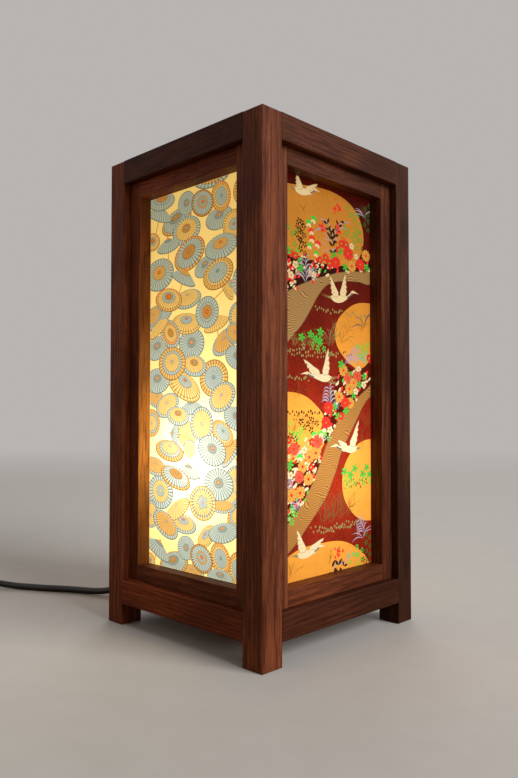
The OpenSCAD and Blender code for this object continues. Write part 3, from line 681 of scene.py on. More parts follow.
def parasol_sheet():
    deselect()
    bpy.ops.mesh.primitive_circle_add(vertices=48, radius=1, fill_type="NGON")
    sheet = bpy.context.object
    sheet.name = "parasol_sheet"
    bpy.ops.object.mode_set(mode="EDIT")
    for ring in (0.22, 0.22, 0.22, 0.18):
        bpy.ops.mesh.inset(thickness=ring)
    bpy.ops.mesh.poke()
    bpy.ops.object.mode_set(mode="OBJECT")
    while sheet.data.uv_layers:
        sheet.data.uv_layers.remove(sheet.data.uv_layers[0])
    uv = sheet.data.uv_layers.new(name="round_and_out")
    for face in sheet.data.polygons:
        corners = [sheet.data.vertices[i].co for i in face.vertices]
        outs = [corner.xy.length for corner in corners]
        turns = [math.atan2(c.y, c.x) / math.tau % 1 for c in corners]
        rim = [t for t, out in zip(turns, outs) if out > HUB]
        if max(rim) - min(rim) > 0.5:
            turns, rim = ([t + 1 if t < 0.5 else t for t in some] for some in (turns, rim))
        for loop, turn, out in zip(face.loop_indices, turns, outs):
            uv.data[loop].uv = (turn if out > HUB else sum(rim) / len(rim), out)
    return sheet


pattern_sheet = parasol_sheet()
print("parasol sheet faces", len(pattern_sheet.data.polygons))

# %% Ribs and bands printed on a parasol
BLUE = from_screen(168, 183, 172)
DEEP_BLUE = from_screen(142, 156, 148)
OCHRE = from_screen(224, 166, 80)
BROWN = from_screen(202, 136, 54)
PALE = from_screen(238, 192, 102)
ORANGE = from_screen(240, 118, 50)
PEACH = from_screen(242, 150, 76)
LIGHT_FOLD = from_screen(244, 220, 160)
RING_WIDE, RING_DARK = 0.036, 0.44  # the dark ring that closes each band


def parasol_print(name, bands, half_rim=None, petals=0):
    """bands are (share of the way out where a band ends, its ink), from the hub."""
    print_ = Finish(name)
    uv = print_.node("ShaderNodeUVMap", {"uv_map": "round_and_out"})
    turn, out, _ = print_.parts(uv)
    where = out
    if petals:
        petal = (turn * petals).fraction().distance_from(0.5)
        where = out + (petal * petal * 4) * 0.16 * out.under(0.62)
    stops, start = [], 0.0
    for end, band in bands:
        stops.append((start, band))
        if end < 1:
            stops.append((end - RING_WIDE, toned(band, RING_DARK)))
        start = end
    colour = print_.bands(where, stops)
    if half_rim:
        edge = out.over(0.84) * (turn * math.tau).sine().over(0.1)
        colour = print_.mix(edge, colour, half_rim)
    pleat = (turn * RIBS).fraction()
    colour = print_.scaled(colour, pleat * 0.30 + print_.noise(300, 3) * 0.24 + 0.74)
    fold = pleat.step(0.50, 0.58) * (1 - pleat.step(0.74, 0.82)) * out.over(0.16)
    colour = print_.mix(fold * 0.36, colour, LIGHT_FOLD)
    rib = (pleat.distance_from(0.5) + (1 - out) * 0.09).step(0.28, 0.40) * out.over(0.10)
    # Painted light: the rib lines are a little darker in front of the bulb, where the light behind
    # them is strongest.
    line = print_.scaled(colour, 0.50 - glow(print_) * 0.10)
    colour = print_.mix((rib * 0.74).at_least(out.over(0.94)), colour, line)
    return print_on_paper(print_, colour, dim=0.51, gain=1.72, bleach=0.5)


BANDS = {
    "blue": [(0.10, ORANGE), (0.44, OCHRE), (1, BLUE)],
    "all blue": [(0.13, PEACH), (0.32, DEEP_BLUE), (1, BLUE)],
    "brown heart": [(0.12, ORANGE), (0.44, BROWN), (0.62, BLUE), (1, BLUE)],
    "blue rim": [(0.10, BLUE), (0.30, BROWN), (0.74, PALE), (1, BLUE)],
    "pale blue rim": [(0.10, BLUE), (0.80, PALE), (1, BLUE)],
    "ochre rim": [(0.10, DEEP_BLUE), (0.64, BLUE), (0.78, PALE), (1, OCHRE)],
    "rings": [(0.10, BLUE), (0.56, PALE), (0.74, BLUE), (1, OCHRE)],
    "lit rim": [(0.06, BLUE), (0.42, BROWN), (0.84, BLUE), (1, OCHRE)],
    "target": [(0.14, ORANGE), (0.30, BROWN), (0.50, BLUE), (0.84, PALE), (1, OCHRE)],
    "pale": [(0.10, ORANGE), (0.40, BLUE), (0.84, PALE), (1, PALE)],
    "ochre": [(0.09, BLUE), (0.80, OCHRE), (1, BLUE)],
    "petals": [(0.10, ORANGE), (0.42, BLUE), (0.74, PALE), (0.82, BLUE), (1, PALE)],
    "plain": [(0.08, BLUE), (1, PALE)],
    "moon": [(0.10, PALE), (0.32, BLUE), (0.64, PALE), (1, BLUE)],
    "eye": [(0.14, ORANGE), (0.34, BLUE), (0.46, OCHRE), (0.86, BLUE), (1, BROWN)],
    "peach rim": [(0.10, DEEP_BLUE), (0.60, BLUE), (0.76, PALE), (1, OCHRE)],
    "brown ochre": [(0.08, BLUE), (0.26, BROWN), (0.40, DEEP_BLUE), (0.86, BLUE), (1, OCHRE)],
    "blue heart": [(0.12, ORANGE), (0.40, BLUE), (0.80, PALE), (1, BLUE)],
    "warm": [(0.30, BROWN), (0.60, PALE), (0.76, PEACH), (1, BLUE)],
}
MORE = {"lit rim": {"half_rim": PEACH}, "target": {"half_rim": PEACH},
        "peach rim": {"half_rim": PEACH}, "petals": {"petals": 5}}
PARASOLS = {look: parasol_print("parasol_" + look.replace(" ", "_"), bands, **MORE.get(look, {}))
            for look, bands in BANDS.items()}
print("parasol prints", len(PARASOLS))

# %% Where the parasols lie
TIPPED = [  # u, v, half width, half height, turn in degrees, print
    (-45, 362, 18, 8, -5, "brown heart"), (-25, 341, 20, 10, 15, "brown ochre"),
    (-12, 354, 11, 10, 0, "all blue"), (8, 350, 14, 11, -20, "eye"),
    (30, 351, 13, 11, -65, "peach rim"), (28, 334, 16, 9, 5, "all blue"),
    (45, 326, 13, 12, 0, "pale"), (-12, 331, 18, 12, 5, "blue rim"),
    (-58, 329, 11, 8, -10, "target"), (-8, 311, 20, 13, 20, "lit rim"),
    (30, 311, 19, 10, 5, "blue"), (-48, 299, 20, 14, 5, "blue"), (12, 298, 14, 8, 20, "all blue"),
    (27, 290, 18, 12, 15, "ochre rim"), (-35, 276, 18, 10, -8, "target"),
    (-10, 274, 17, 8, 5, "pale blue rim"), (56, 281, 13, 14, 0, "all blue"),
    (14, 261, 14, 13, 0, "brown heart"), (-12, 254, 19, 9, -5, "pale"),
    (-33, 247, 15, 11, -40, "warm"), (-5, 237, 16, 13, 0, "all blue"),
    (35, 236, 16, 9, 30, "ochre"), (52, 254, 13, 12, -30, "pale blue rim"),
    (-50, 236, 16, 10, 15, "all blue"), (-30, 222, 18, 14, 0, "rings"),
    (-2, 219, 16, 9, -10, "blue rim"), (22, 208, 17, 15, 0, "ochre rim"),
    (48, 223, 13, 9, -20, "all blue"), (-50, 208, 17, 11, 0, "all blue"),
    (-15, 203, 23, 11, -25, "pale"), (32, 193, 16, 11, 25, "pale blue rim"),
    (-36, 187, 16, 10, 20, "pale blue rim"), (-22, 178, 15, 8, -5, "blue rim"),
    (8, 172, 14, 14, 0, "pale blue rim"), (32, 165, 14, 9, -30, "ochre rim"),
    (-58, 172, 12, 12, 0, "rings"), (48, 176, 15, 9, -20, "all blue"),
    (-10, 163, 12, 11, 0, "plain"), (-33, 149, 19, 9, -8, "rings"),
    (-7, 151, 8, 8, 0, "pale blue rim"), (20, 151, 17, 12, -15, "all blue"),
    (-53, 135, 16, 8, -10, "ochre"), (-25, 127, 20, 9, -15, "lit rim"),
    (28, 125, 17, 13, 0, "all blue"), (-45, 114, 17, 15, 0, "moon"), (9, 109, 16, 14, 0, "petals"),
    (-22, 101, 17, 7, 30, "plain"), (51, 103, 15, 11, 45, "rings"),
    (-38, 87, 18, 10, -25, "ochre"), (-15, 90, 17, 8, -5, "blue heart"),
    (33, 88, 17, 8, 12, "all blue"), (-11, 71, 11, 10, 0, "all blue"), (8, 65, 14, 11, -20, "eye"),
    (30, 68, 13, 11, -60, "peach rim"), (-27, 56, 19, 10, 15, "brown ochre"),
    (50, 63, 11, 13, 0, "ochre rim"), (-58, 94, 10, 12, 0, "pale blue rim"),
    (48, 129, 14, 12, 20, "pale blue rim"), (14, 83, 13, 7, 40, "pale"),
    (30, 53, 15, 7, 0, "all blue"), (-56, 264, 12, 8, 25, "ochre"),
    (-52, 193, 14, 8, -20, "ochre"), (46, 242, 10, 8, -20, "ochre"),
    (36, 115, 16, 7, 8, "pale blue rim"), (33, 108, 14, 5, 5, "ochre"),
    (-60, 54, 8, 7, 0, "target")]
SIDE_ON = [(-48, 349, 18, 4, -20, "all blue"), (-36, 321, 15, 5, 4, "all blue"),
           (-16, 291, 17, 4, -24, "blue"), (-45, 260, 17, 5, 28, "all blue"),
           (25, 250, 15, 5, 15, "plain"), (-5, 184, 14, 5, 5, "all blue"),
           (-25, 163, 12, 4, 80, "all blue"), (-9, 131, 16, 4, -6, "all blue"),
           (42, 150, 15, 5, 50, "ochre"), (-49, 64, 18, 5, -24, "all blue"),
           (37, 279, 13, 5, -60, "pale"), (-48, 252, 15, 4, 30, "plain")]
BEHIND = [(19, 371, 23, 11, 0, "ochre"), (56, 351, 12, 12, 0, "ochre rim"),
          (-3, 52, 14, 7, 0, "ochre"), (-62, 372, 16, 12, 0, "ochre")]
ON_TOP = [(-30, 222), (32, 193), (8, 172), (-33, 149), (9, 109), (20, 151), (-25, 127), (14, 261)]
REACH = 36  # parasols farther apart than this, in mm, never touch


def overlapping(a, b):
    return math.hypot(a["u"] - b["u"], a["v"] - b["v"]) < REACH


def on_sheet(turned):
    """Every parasol with its layer. Two that may touch never share one.

    The few behind the rest lie half a layer up."""
    def spot(place, side_on=False, layer=0):
        u, v, wide, high, degrees, look = place
        squash, on_top = high / wide, (u, v) in ON_TOP
        if turned:
            u, v, degrees = -u, OPEN_LOW + OPEN_HIGH - v, degrees + 180
        return {"u": u, "v": v, "wide": wide, "squash": squash, "side_on": side_on,
                "lean": 0.5 if side_on else 0.45 * (1 - squash), "on_top": on_top,
                "turn": math.radians(degrees), "print": PARASOLS[look], "layer": layer}

    spots = [spot(place) for place in TIPPED] + [spot(place, True) for place in SIDE_ON]
    random.Random(5).shuffle(spots)
    spots.sort(key=lambda laid: laid["on_top"])
    for i, laid in enumerate(spots):
        taken = {s["layer"] for s in spots[:i] if overlapping(s, laid)}
        lowest = max(taken, default=0) + 1 if laid["on_top"] else 1
        laid["layer"] = min(n for n in range(lowest, 24) if n not in taken)
    print("layers", max(laid["layer"] for laid in spots))
    return spots + [spot(place, layer=0.5) for place in BEHIND]


SUNK = 0.4  # from the side, the far half lies this share of a layer behind the near one


def lay_parasol(spot):
    copy = copied(pattern_sheet)
    for corner in copy.data.vertices:
        out = corner.co.xy.length
        if spot["side_on"] and corner.co.y > 0.001:
            corner.co.z = -SUNK * LAYER / spot["wide"]
        corner.co.y = corner.co.y * spot["squash"] + spot["lean"] * max(0, 1 - out ** 1.4)
    copy.data.materials.append(spot["print"])
    copy.data.transform(move(spot["u"], spot["v"], spot["layer"])
                        @ Matrix.Rotation(spot["turn"], 4, "Z")
                        @ Matrix.Scale(spot["wide"] * MM, 4))
    return copy


stick_ink, colour = read_ink("parasol_sticks")
print_on_paper(stick_ink, colour)
stick = edged(cut_out([(-0.7, 0, 1), (-0.5, -20, 1), (0.5, -20, 1), (0.7, 0, 1)], OCHRE, 1),
              0.2, BROWN)
knob = oval(0, 0, 1.3, 1.3, PEACH, 2)
wear(stick_ink.material, stick, knob)


def stick_and_knob(spot):
    """The handle behind a parasol seen from the side, and the knob on its top."""
    top = Matrix.Rotation(spot["turn"], 2) @ Vector((0, spot["lean"] * spot["wide"] + 0.6))
    return [placed(knob, spot["u"] + top.x, spot["v"] + top.y, 0, 1, spot["layer"] + 0.4),
            placed(stick, spot["u"], spot["v"], math.degrees(spot["turn"]), 1,
                   spot["layer"] - 0.6)]


for side, turned in (("front", False), ("back", True)):
    spots = on_sheet(turned)
    sheets = [lay_parasol(spot) for spot in spots]
    for spot in spots:
        if spot["side_on"]:
            sheets += stick_and_knob(spot)
    print_layer(sheets, "parasols", side)
discard(pattern_sheet, stick, knob)

# %% [markdown]
# ### Hills, streams, cranes and flowers
# The maroon paper shows gold hills, combed brown streams between them, thick
# clusters of flowers and grasses, and white cranes. Each flower, leaf and blade of
# grass is cut once, in the colours of its inks, and copied with a turn and size of
# its own, as a printer repeats a block.

# %% Stamps for flowers, leaves and grasses
IVORY = from_screen(238, 216, 168)
GOLD = from_screen(222, 147, 54)
RED = from_screen(238, 56, 44)
ROSE = from_screen(226, 92, 66)
RUST = from_screen(206, 116, 38)
GREEN = from_screen(74, 204, 64)
OLIVE = from_screen(150, 140, 84)
LILAC = from_screen(176, 163, 178)
SMOKE = from_screen(112, 104, 96)
PLUME = from_screen(176, 152, 116)
BRANCH = from_screen(128, 82, 34)
GRASS = from_screen(128, 88, 48)
# Painted shadow: a darker green for the leaves at the paper's right edge, where the frame casts
# its shadow.
PAINTED_SHADOW_GREEN = from_screen(40, 104, 38)
LEAF = from_screen(66, 172, 62)
DARK_LEAF = from_screen(58, 40, 22)
THICKET = from_screen(52, 12, 9)


def flower(name, petals, reach, width, colour, eye, eye_r):
    petal = edged(cut_out([(0.3, 0), (reach * 0.55, -width), (reach, -width * 0.5),
                           (reach, width * 0.5), (reach * 0.55, width)], colour, 2),
                  0.26, toned(colour, 0.42))
    turned = [placed(petal, degrees=360 / petals * i, layer=(i % 2) * 0.2)
              for i in range(petals)]
    discard(petal)
    return join(name, *turned, lifted(oval(0, 0, eye_r, eye_r, eye, 1), 0.5))


aster_red = flower("aster_red", 10, 5.4, 1.5, RED, RUST, 1.1)
aster_rose = flower("aster_rose", 10, 5.2, 1.5, ROSE, RED, 1.2)
aster_gold = flower("aster_gold", 12, 5.2, 1.2, from_screen(228, 162, 70), RED, 1.3)
plum_white = flower("plum_white", 5, 3.0, 1.4, IVORY, GOLD, 0.8)
plum_red = flower("plum_red", 5, 3.2, 1.5, RED, GREEN, 0.8)
clover = flower("clover", 5, 3.6, 1.0, GREEN, OLIVE, 0.5)
leaf = cut_out([(0, 0, 1), (2.0, -1.0), (4.6, 0, 1), (2.0, 1.0)], GREEN, 2)
berry = oval(0, 0, 0.9, 0.9, RED, 1)
fleck = cut_out([(0, -0.8), (0.6, 0), (0, 0.8), (-0.6, 0)], OLIVE, 2)
blade = cut_out([(0, 0, 1), (4.5, 4.6), (9.5, 7.0), (16, 7.6, 1), (9.3, 7.8), (3.9, 5.3)],
                LILAC, 3)
hair = cut_out([(0, 0, 1), (1.2, 7), (5.0, 14), (11, 18, 1), (4.7, 14.2), (0.9, 7.1)],
               BRANCH, 3)
bud = join("bud", cut_out([(0, 0), (1.6, -1.2), (3.4, -0.9), (3.4, 0.9), (1.6, 1.2)], IVORY, 2),
           lifted(cut_out([(2.6, -0.9), (4.8, -1.3), (6.0, 0), (4.8, 1.3), (2.6, 0.9)],
                          RED, 2), 0.3))
CAP = [(-3, 0), (-2.2, 2.2), (0, 3.2), (2.2, 2.2), (3, 0), (0, 0.6)]
SKIRT = [(-1.6, -0.2), (-2.2, -3.0), (-0.4, -1.6), (1.4, -3.2), (1.8, -0.2)]
bell, bell_red = (join(name, cut_out(CAP, tint, 2), cut_out(SKIRT, IVORY, 2))
                  for name, tint in (("bell", GREEN), ("bell_red", RED)))
frond = cut_out([(0, 0, 1), (2.7, 3.5), (6.5, 5.2), (10.5, 4.0, 1), (6.3, 6.4), (2.0, 4.7)],
                LILAC, 3)
fern = join("fern", *(placed(frond, 0, 3.2 * (i // 2), 6 + 2.5 * i, 1.0 - 0.04 * i,
                             mirrored=i % 2 == 0) for i in range(10)))
leaflet = oval(2.5, 0, 1.5, 1.0, GREEN, 1)
sprig = join("sprig", *(placed(leaflet, degrees=turn) for turn in (0, 75, -75, 140, -140)))
discard(frond, leaflet)
STAMPS = [sprig, aster_red, aster_rose, aster_gold, plum_white, plum_red, clover, leaf, berry,
          fleck, blade, hair, bud, bell, bell_red, fern]
print("stamps", len(STAMPS), "faces", sum(len(s.data.polygons) for s in STAMPS))


# %% A crane in flight
def wing(root, tip, width):
    """A wing from its root to its tip, with five feathers on the trailing edge."""
    root, tip = Vector(root), Vector(tip)
    way = tip - root
    side = Vector((-way.y, way.x)).normalized() * width
    edge = [(tip.x, tip.y, 1)]
    for i in range(5):
        out = 0.84 - 0.17 * i
        spread = (0.30, 0.56, 0.80, 0.96, 0.86)[i]
        feather = root + way * out + side * spread
        notch = root + way * (out - 0.05) + side * (spread - 0.14)
        edge += [(*feather, 1), (*notch, 1)]
    front = [root + way * 0.05 - side * 0.30, root + way * 0.45 - side * 0.34,
             root + way * 0.8 - side * 0.20]
    shape = edged(cut_out(edge + [tuple(p) for p in front], IVORY, 3), 0.42, PLUME)
    lines = []
    for i in range(4):
        start = root + way * (0.20 + 0.15 * i) + side * 0.05
        end = root + way * (0.34 + 0.155 * i) + side * (0.62 - 0.11 * i)
        thin = (end - start).normalized().yx * 0.14
        thin.x = -thin.x
        middle = (start + end) / 2
        lines.append(lifted(cut_out([(*start, 1), (*(middle + thin), 1),
                                     (*end, 1), (*(middle - thin), 1)], SMOKE, 1), 0.4))
    return [shape] + lines


def crane(far_tip, near_tip, head):
    """A crane that flies right. Tips and head are in mm from its body."""
    def by(spot, right, up, *tip):
        return (spot.x + right, spot.y + up, *tip)

    h = Vector(head)
    bend, nape = (Vector((8, 0.6)).lerp(h, t) - Vector((0, 0.9)) for t in (0.33, 0.66))
    body = edged(cut_out([(-11, 0.6, 1), (-7, -2.6), (-1, -3.8), (5, -2.9), by(bend, 0.6, -1.1),
                          by(nape, 0.4, -0.8), by(h, 1.2, -1.0), by(h, 9, -1.2, 1),
                          by(h, 2.2, 1.0), by(h, -0.4, 1.3), by(nape, -0.8, 0.9),
                          by(bend, -0.8, 1.2), (2, 2.6), (-5, 2.4)], IVORY, 4), 0.1, SMOKE)
    legs = [cut_out([(-8, -0.6), (-14, -0.2 + k), (-22, 0.6 + 1.6 * k, 1), (-14, -0.6 + k)],
                    OLIVE, 3) for k in (0, 0.9)]
    stripe = lifted(cut_out([by(bend, 0, -0.9), by(nape, 0, -1.0), by(h, 0, -0.8),
                             by(nape, 0, 0.1)], SMOKE, 3), 0.5)
    far = [lifted(s, -0.3) for s in wing((4.5, 1.0), far_tip, -6.2)]
    near = [lifted(s, 0.6) for s in wing((-0.4, 0.6), near_tip, 6.0)]
    return join("crane", body, stripe, *legs, *far, *near)


CRANES = [  # far wing tip, near wing tip, head, then place, turn, size, facing left
    ((20, 10), (-8, 14), (16, 4.5), (-30, 355.5), 0, 0.95, False),
    ((10, 22), (-11, 18), (20, 7.5), (15, 275.5), 0, 1.0, False),
    ((25, 13.5), (-6, 24), (20, 2.5), (-4, 209.5), 0, 1.0, True),
    ((17, 7.5), (-12, 24), (19, 3), (31, 151), 0, 1.0, True),
    ((23, 9.5), (-10, 20), (17, 3.5), (-27, 71.5), 0, 1.0, False),
]
flock = [crane(*pose[:3]) for pose in CRANES]
print("cranes", len(flock), "faces", sum(len(bird.data.polygons) for bird in flock))

# %% [markdown]
# The streams need lines that flow like combed water. Height lines of a slow noise do
# that: the noise times a number, of which only the fraction is kept, crosses the same
# value along evenly spaced smooth lines. A slope added to the noise keeps the lines
# from closing into rings.

# %% Finishes for hills, streams and the rest
plain_ink, colour = read_ink("printed_ink")
print_on_paper(plain_ink, colour, dim=0.50, gain=1.05, bleach=0.05)

hill_ink, colour = read_ink("printed_hills")
threads, cloud = hill_ink.noise(700, 3, 0.75), hill_ink.noise(55, 4)
colour = hill_ink.mix(threads.step(0.44, 0.66) * 0.26 + cloud.step(0.4, 0.7) * 0.14, colour,
                      toned(GOLD))
print_on_paper(hill_ink, colour, dim=0.25, gain=2.3, bleach=0.0)

stream_ink, colour = read_ink("printed_streams")
x, y, z = stream_ink.place()
height = stream_ink.noise(52, 1) * 12 + z * 620 + (x + y) * 260
combed = height.fraction().distance_from(0.5)
colour = stream_ink.mix(combed.step(0.14, 0.32) * 0.8, colour, stream_ink.scaled(colour, 0.35))
print_on_paper(stream_ink, colour, dim=0.24, gain=0.98, bleach=0.0, grain=0.4)
print("finishes for the maroon paper's prints ready")

# %% Where the hills, streams and plants are
TOP_HILL = [(51, 333), (48, 343), (41, 352), (30, 358.5), (16, 362), (0, 363), (-20, 361.5),
            (-40, 358.5), (-66, 352), (-66, 306), (-40, 302), (0, 300), (30, 303), (45, 314),
            (50, 324)]
HILLS = [(64, 246, 53, 30), (-52, 167, 52, 30), (62, 123, 42, 35), (-8, 45, 66, 32)]
STREAMS = [
    [(66, 304), (45, 302), (30, 300), (15, 297), (5, 294), (-5, 291), (-15, 288), (-25, 284),
     (-35, 280), (-47, 274), (-66, 262), (-66, 222), (-47, 235), (-40, 241), (-30, 250),
     (-20, 262), (-10, 275), (0, 284), (10, 288), (22, 290.5), (40, 292.5), (66, 296)],
    [(66, 208), (57, 203), (45, 196), (30, 186), (15, 175), (5, 163), (-1, 154), (-6, 145),
     (-12, 135), (-18, 125), (-25, 117), (-33, 108), (-40, 102), (-47, 97), (-66, 86),
     (-66, 64), (-47, 74), (-35, 82), (-25, 91), (-18, 97), (-8, 106), (0, 114), (8, 127),
     (13, 135), (18, 146), (24, 155), (33, 166), (42, 177), (50, 187), (57, 193), (66, 199)],
]
STREAM_INKS = [from_screen(222, 172, 108), from_screen(226, 156, 78)]
TOP_THICKET = [(-66, 308), (-47, 304), (-25, 303), (-5, 302), (15, 303), (35, 305), (50, 309),
    (66, 313), (66, 303), (45, 301), (15, 296), (-15, 287), (-35, 279), (-66, 261)]
RIGHT_THICKET = [(66, 226), (48, 219), (34, 218), (22, 221), (14, 213), (9, 200), (-1, 190),
    (-4, 178), (-2, 167), (-3, 156), (5, 162), (15, 174), (30, 185), (45, 195), (66, 207)]
LEFT_THICKET = [(-66, 166), (-46, 163), (-30, 158), (-16, 162), (-4, 160), (-2, 154), (-7, 145),
    (-12, 135), (-18, 125), (-25, 117), (-33, 108), (-40, 102), (-66, 88)]
LEFT_SHADE = [(-66, 141), (-40, 143), (-20, 141), (-8, 144)] + LEFT_THICKET[7:]
THICKETS = [(TOP_THICKET, 400), (RIGHT_THICKET, 150), (LEFT_THICKET, 300)]
BLOSSOMS = {
    "aster_red": [(29, 315), (46, 308), (12, 305), (2, 185), (-1, 173), (24, 189)],
    "aster_rose": [(28, 210), (41, 212), (-40, 153), (-34, 131), (-12, 158)],
    "aster_gold": [(34, 305), (54, 317), (22, 216), (36, 206), (30, 201), (16, 194), (31, 189),
                   (-22, 146), (-30, 139), (-23, 129), (-33, 119), (-43, 118), (-14, 149)],
    "plum_white": [(34, 322), (40, 314), (-43, 287), (-16, 291), (50, 205), (39, 199), (4, 167),
                   (-44, 133), (-28, 152), (43, 218), (-38, 296)],
    "plum_red": [(20, 322), (-1, 307), (-8, 304), (4, 303), (-44, 304), (-38, 303), (58, 228),
                 (18, 178), (-19, 158), (-46, 160), (-20, 138), (16, 316), (26, 322)],
    "clover": [(10, 310), (18, 315), (25, 303), (55, 307), (-31, 240), (-20, 243), (-8, 246),
               (-14, 240), (-9, 239), (19, 221), (32, 213), (51, 212), (44, 205), (25, 183),
               (10, 186), (23, 132), (37, 134), (31, 129), (54, 134), (48, 129), (58, 128),
               (-45, 141), (-32, 294), (-47, 306), (36, 196), (14, 178)],
    "bell": [(-16, 335), (-22, 331), (-21, 313), (-13, 308), (24, 207), (-33, 146), (-26, 139),
             (-8, 164), (-16, 163)],
    "bell_red": [(-18, 319), (-11, 316), (-19, 325), (-24, 143), (-4, 168)],
}
SPRAYS = [(10, 328, 4, LILAC, 1.5), (6, 319, 4, LILAC, 0.9), (3, 311, 4, LILAC, 0.8),
          (52, 350, 5, LILAC, 0.9), (52, 254, 4, SMOKE, 1.2), (24, 55, 4, LILAC, 1.0),
          (-6, 156, 4, LILAC, 0.8), (48, 74, 4, LILAC, 1.0), (-30, 148, 4, LILAC, 0.7)]
FERNS = [(-26, 283, 0, 1.25), (-18, 286, -25, 0.7), (4, 186, 0, 1.05), (40, 221, 0, 1.0),
         (31, 221, 15, 0.6), (49, 222, -20, 0.7), (50, 79, 30, 0.9), (-36, 105, 10, 0.8),
         (-42, 122, 30, 0.8), (10, 184, -40, 0.5)]
TUFTS = [(-6, 91, 12, GRASS, 1.1), (5, 91, 16, GRASS, 1.4), (16, 93, 14, GRASS, 1.3),
         (27, 94, 10, GRASS, 1.1), (4, 235, 12, OLIVE, 1.1), (10, 240, 6, OLIVE, 0.8),
         (-40, 232, 12, OLIVE, 0.6), (-30, 232, 12, OLIVE, 0.7), (-21, 232, 14, OLIVE, 0.7),
         (-11, 232, 14, OLIVE, 0.8), (20, 238, 8, BRANCH, 0.8), (26, 246, 7, BRANCH, 0.8),
         (46, 250, 8, BRANCH, 0.9), (54, 168, 10, BRANCH, 0.9), (18, 128, 8, BRANCH, 0.7),
         (-36, 192, 8, BRANCH, 0.8), (-20, 166, 12, BRANCH, 0.9), (-44, 160, 8, BRANCH, 0.8),
         (-44, 55, 8, BRANCH, 0.8), (2, 58, 7, BRANCH, 0.8), (46, 152, 8, BRANCH, 0.8),
         (-28, 338, 5, BRANCH, 0.6), (54, 346, 7, SMOKE, 0.8)]
FLECK_ROWS = [(-14, 58, 264, OLIVE), (-47, 18, 230, OLIVE), (-47, 16, 227, OLIVE),
    (-47, -18, 207, OLIVE), (2, 16, 207, OLIVE), (-20, 52, 89, OLIVE), (-10, 40, 86, OLIVE),
    (22, 36, 230, BRANCH), (24, 58, 120, BRANCH), (24, 58, 123, BRANCH), (-47, -3, 181, DARK_LEAF),
    (-40, -14, 177, BRANCH)]
FLECK_STEP = 2.7
TWIGS = [  # u, v, degrees, length, leaf size, ink
    (9, 312, 98, 24, 1.5, DARK_LEAF), (8, 322, 60, 26, 1.4, DARK_LEAF),
    (5, 326, 112, 16, 1.3, DARK_LEAF), (-29, 306, 95, 30, 1.1, DARK_LEAF),
    (-34, 316, 85, 18, 1.0, DARK_LEAF), (49, 304, 80, 22, 1.0, DARK_LEAF),
    (-44, 320, 80, 8, 1.0, LEAF), (-39, 322, 95, 6, 1.0, LEAF), (-41, 308, 20, 9, 1.0, LEAF),
    (-36, 300, 100, 12, 1.0, GREEN), (25, 332, 60, 10, 0.9, LEAF), (32, 330, 85, 10, 0.9, LEAF),
    (39, 322, 80, 18, 0.9, LEAF), (44, 328, 100, 26, 0.9, LEAF), (30, 350, 60, 8, 0.9, LEAF),
    (36, 352, 20, 7, 0.9, LEAF), (55, 340, 85, 26, 0.9, PAINTED_SHADOW_GREEN),
    (46, 227, 95, 16, 1.0, GREEN), (51, 226, 80, 20, 1.0, GREEN), (-31, 234, 80, 6, 1.0, OLIVE),
    (-14, 232, 100, 8, 1.0, GREEN), (-6, 233, 80, 8, 1.0, GREEN), (26, 121, 75, 10, 1.1, GREEN),
    (34, 122, 90, 10, 1.1, GREEN), (47, 121, 85, 10, 1.1, GREEN), (55, 122, 80, 10, 1.1, GREEN),
    (-46, 166, 95, 12, 1.0, GREEN), (-37, 160, 75, 14, 1.0, GREEN), (-32, 161, 95, 12, 1.0, GREEN),
    (-30, 170, 80, 10, 1.1, DARK_LEAF), (-22, 168, 70, 10, 1.1, DARK_LEAF),
    (-15, 172, 100, 9, 1.1, DARK_LEAF), (-41, 160, 100, 10, 1.1, DARK_LEAF),
    (0, 160, 95, 14, 1.1, GREEN), (-5, 166, 60, 12, 1.0, GREEN), (-45, 98, 80, 14, 1.1, GREEN),
    (-41, 104, 70, 8, 1.1, GREEN), (8, 50, 110, 11, 1.7, DARK_LEAF),
    (14, 50, 85, 14, 1.7, DARK_LEAF), (19, 50, 60, 12, 1.4, DARK_LEAF),
    (28, 58, 55, 14, 0.9, GREEN), (37, 64, 20, 8, 0.9, GREEN), (43, 50, 85, 20, 0.9, GREEN),
    (56, 52, 92, 30, 0.9, PAINTED_SHADOW_GREEN), (50, 52, 80, 16, 1.0, DARK_LEAF)]
BERRIES = [(14, 351, 6, 5), (-5, 331, 4, 4), (15, 333, 3, 5), (14, 66, 6, 5), (22, 323, 3, 4),
           (58, 228, 3, 4)]

# %% [markdown]
# The thickets are filled by chance: a place is drawn at random and kept if it lies
# within the thicket's line. A fixed seed gives the same flowers on every run.

# %% Print the ground, then the plants
SQUAT = (1.12, 0.94)  # thicket plants and blossoms are a little wider than high
ON_LAYER = {"hills": 1, "thickets": 2, "streams": 3, "buds": 4, "flecks": 4, "sprays": 7,
            "tufts": 7.4, "ferns": 7.7, "twigs": 8, "berries": 8.5, "blossoms": 9, "cranes": 11}


def printed_ground():
    ground = {
        "hills": [cut_out(TOP_HILL, GOLD, 6)] + [oval(*hill, GOLD, 8) for hill in HILLS],
        "streams": [edged(cut_out(line, tint, 5), 0.5, OLIVE)
                    for line, tint in zip(STREAMS, STREAM_INKS)],
        "thickets": [cut_out(line, tint, 5) for line, tint in
                     ((TOP_THICKET, THICKET), (RIGHT_THICKET, toned(MAROON, 0.8)),
                      (LEFT_SHADE, toned(MAROON, 0.9)))]}
    for (kind, shapes), finish in zip(ground.items(), (hill_ink, stream_ink, plain_ink)):
        for shape in shapes:
            wear(finish.material, lifted(shape, ON_LAYER[kind]))
    return ground


def inside(u, v, line):
    """Whether a point lies within a closed line."""
    odd = False
    for (u1, v1), (u2, v2) in zip(line, line[1:] + line[:1]):
        if (v1 > v) != (v2 > v) and u < u1 + (v - v1) / (v2 - v1) * (u2 - u1):
            odd = not odd
    return odd


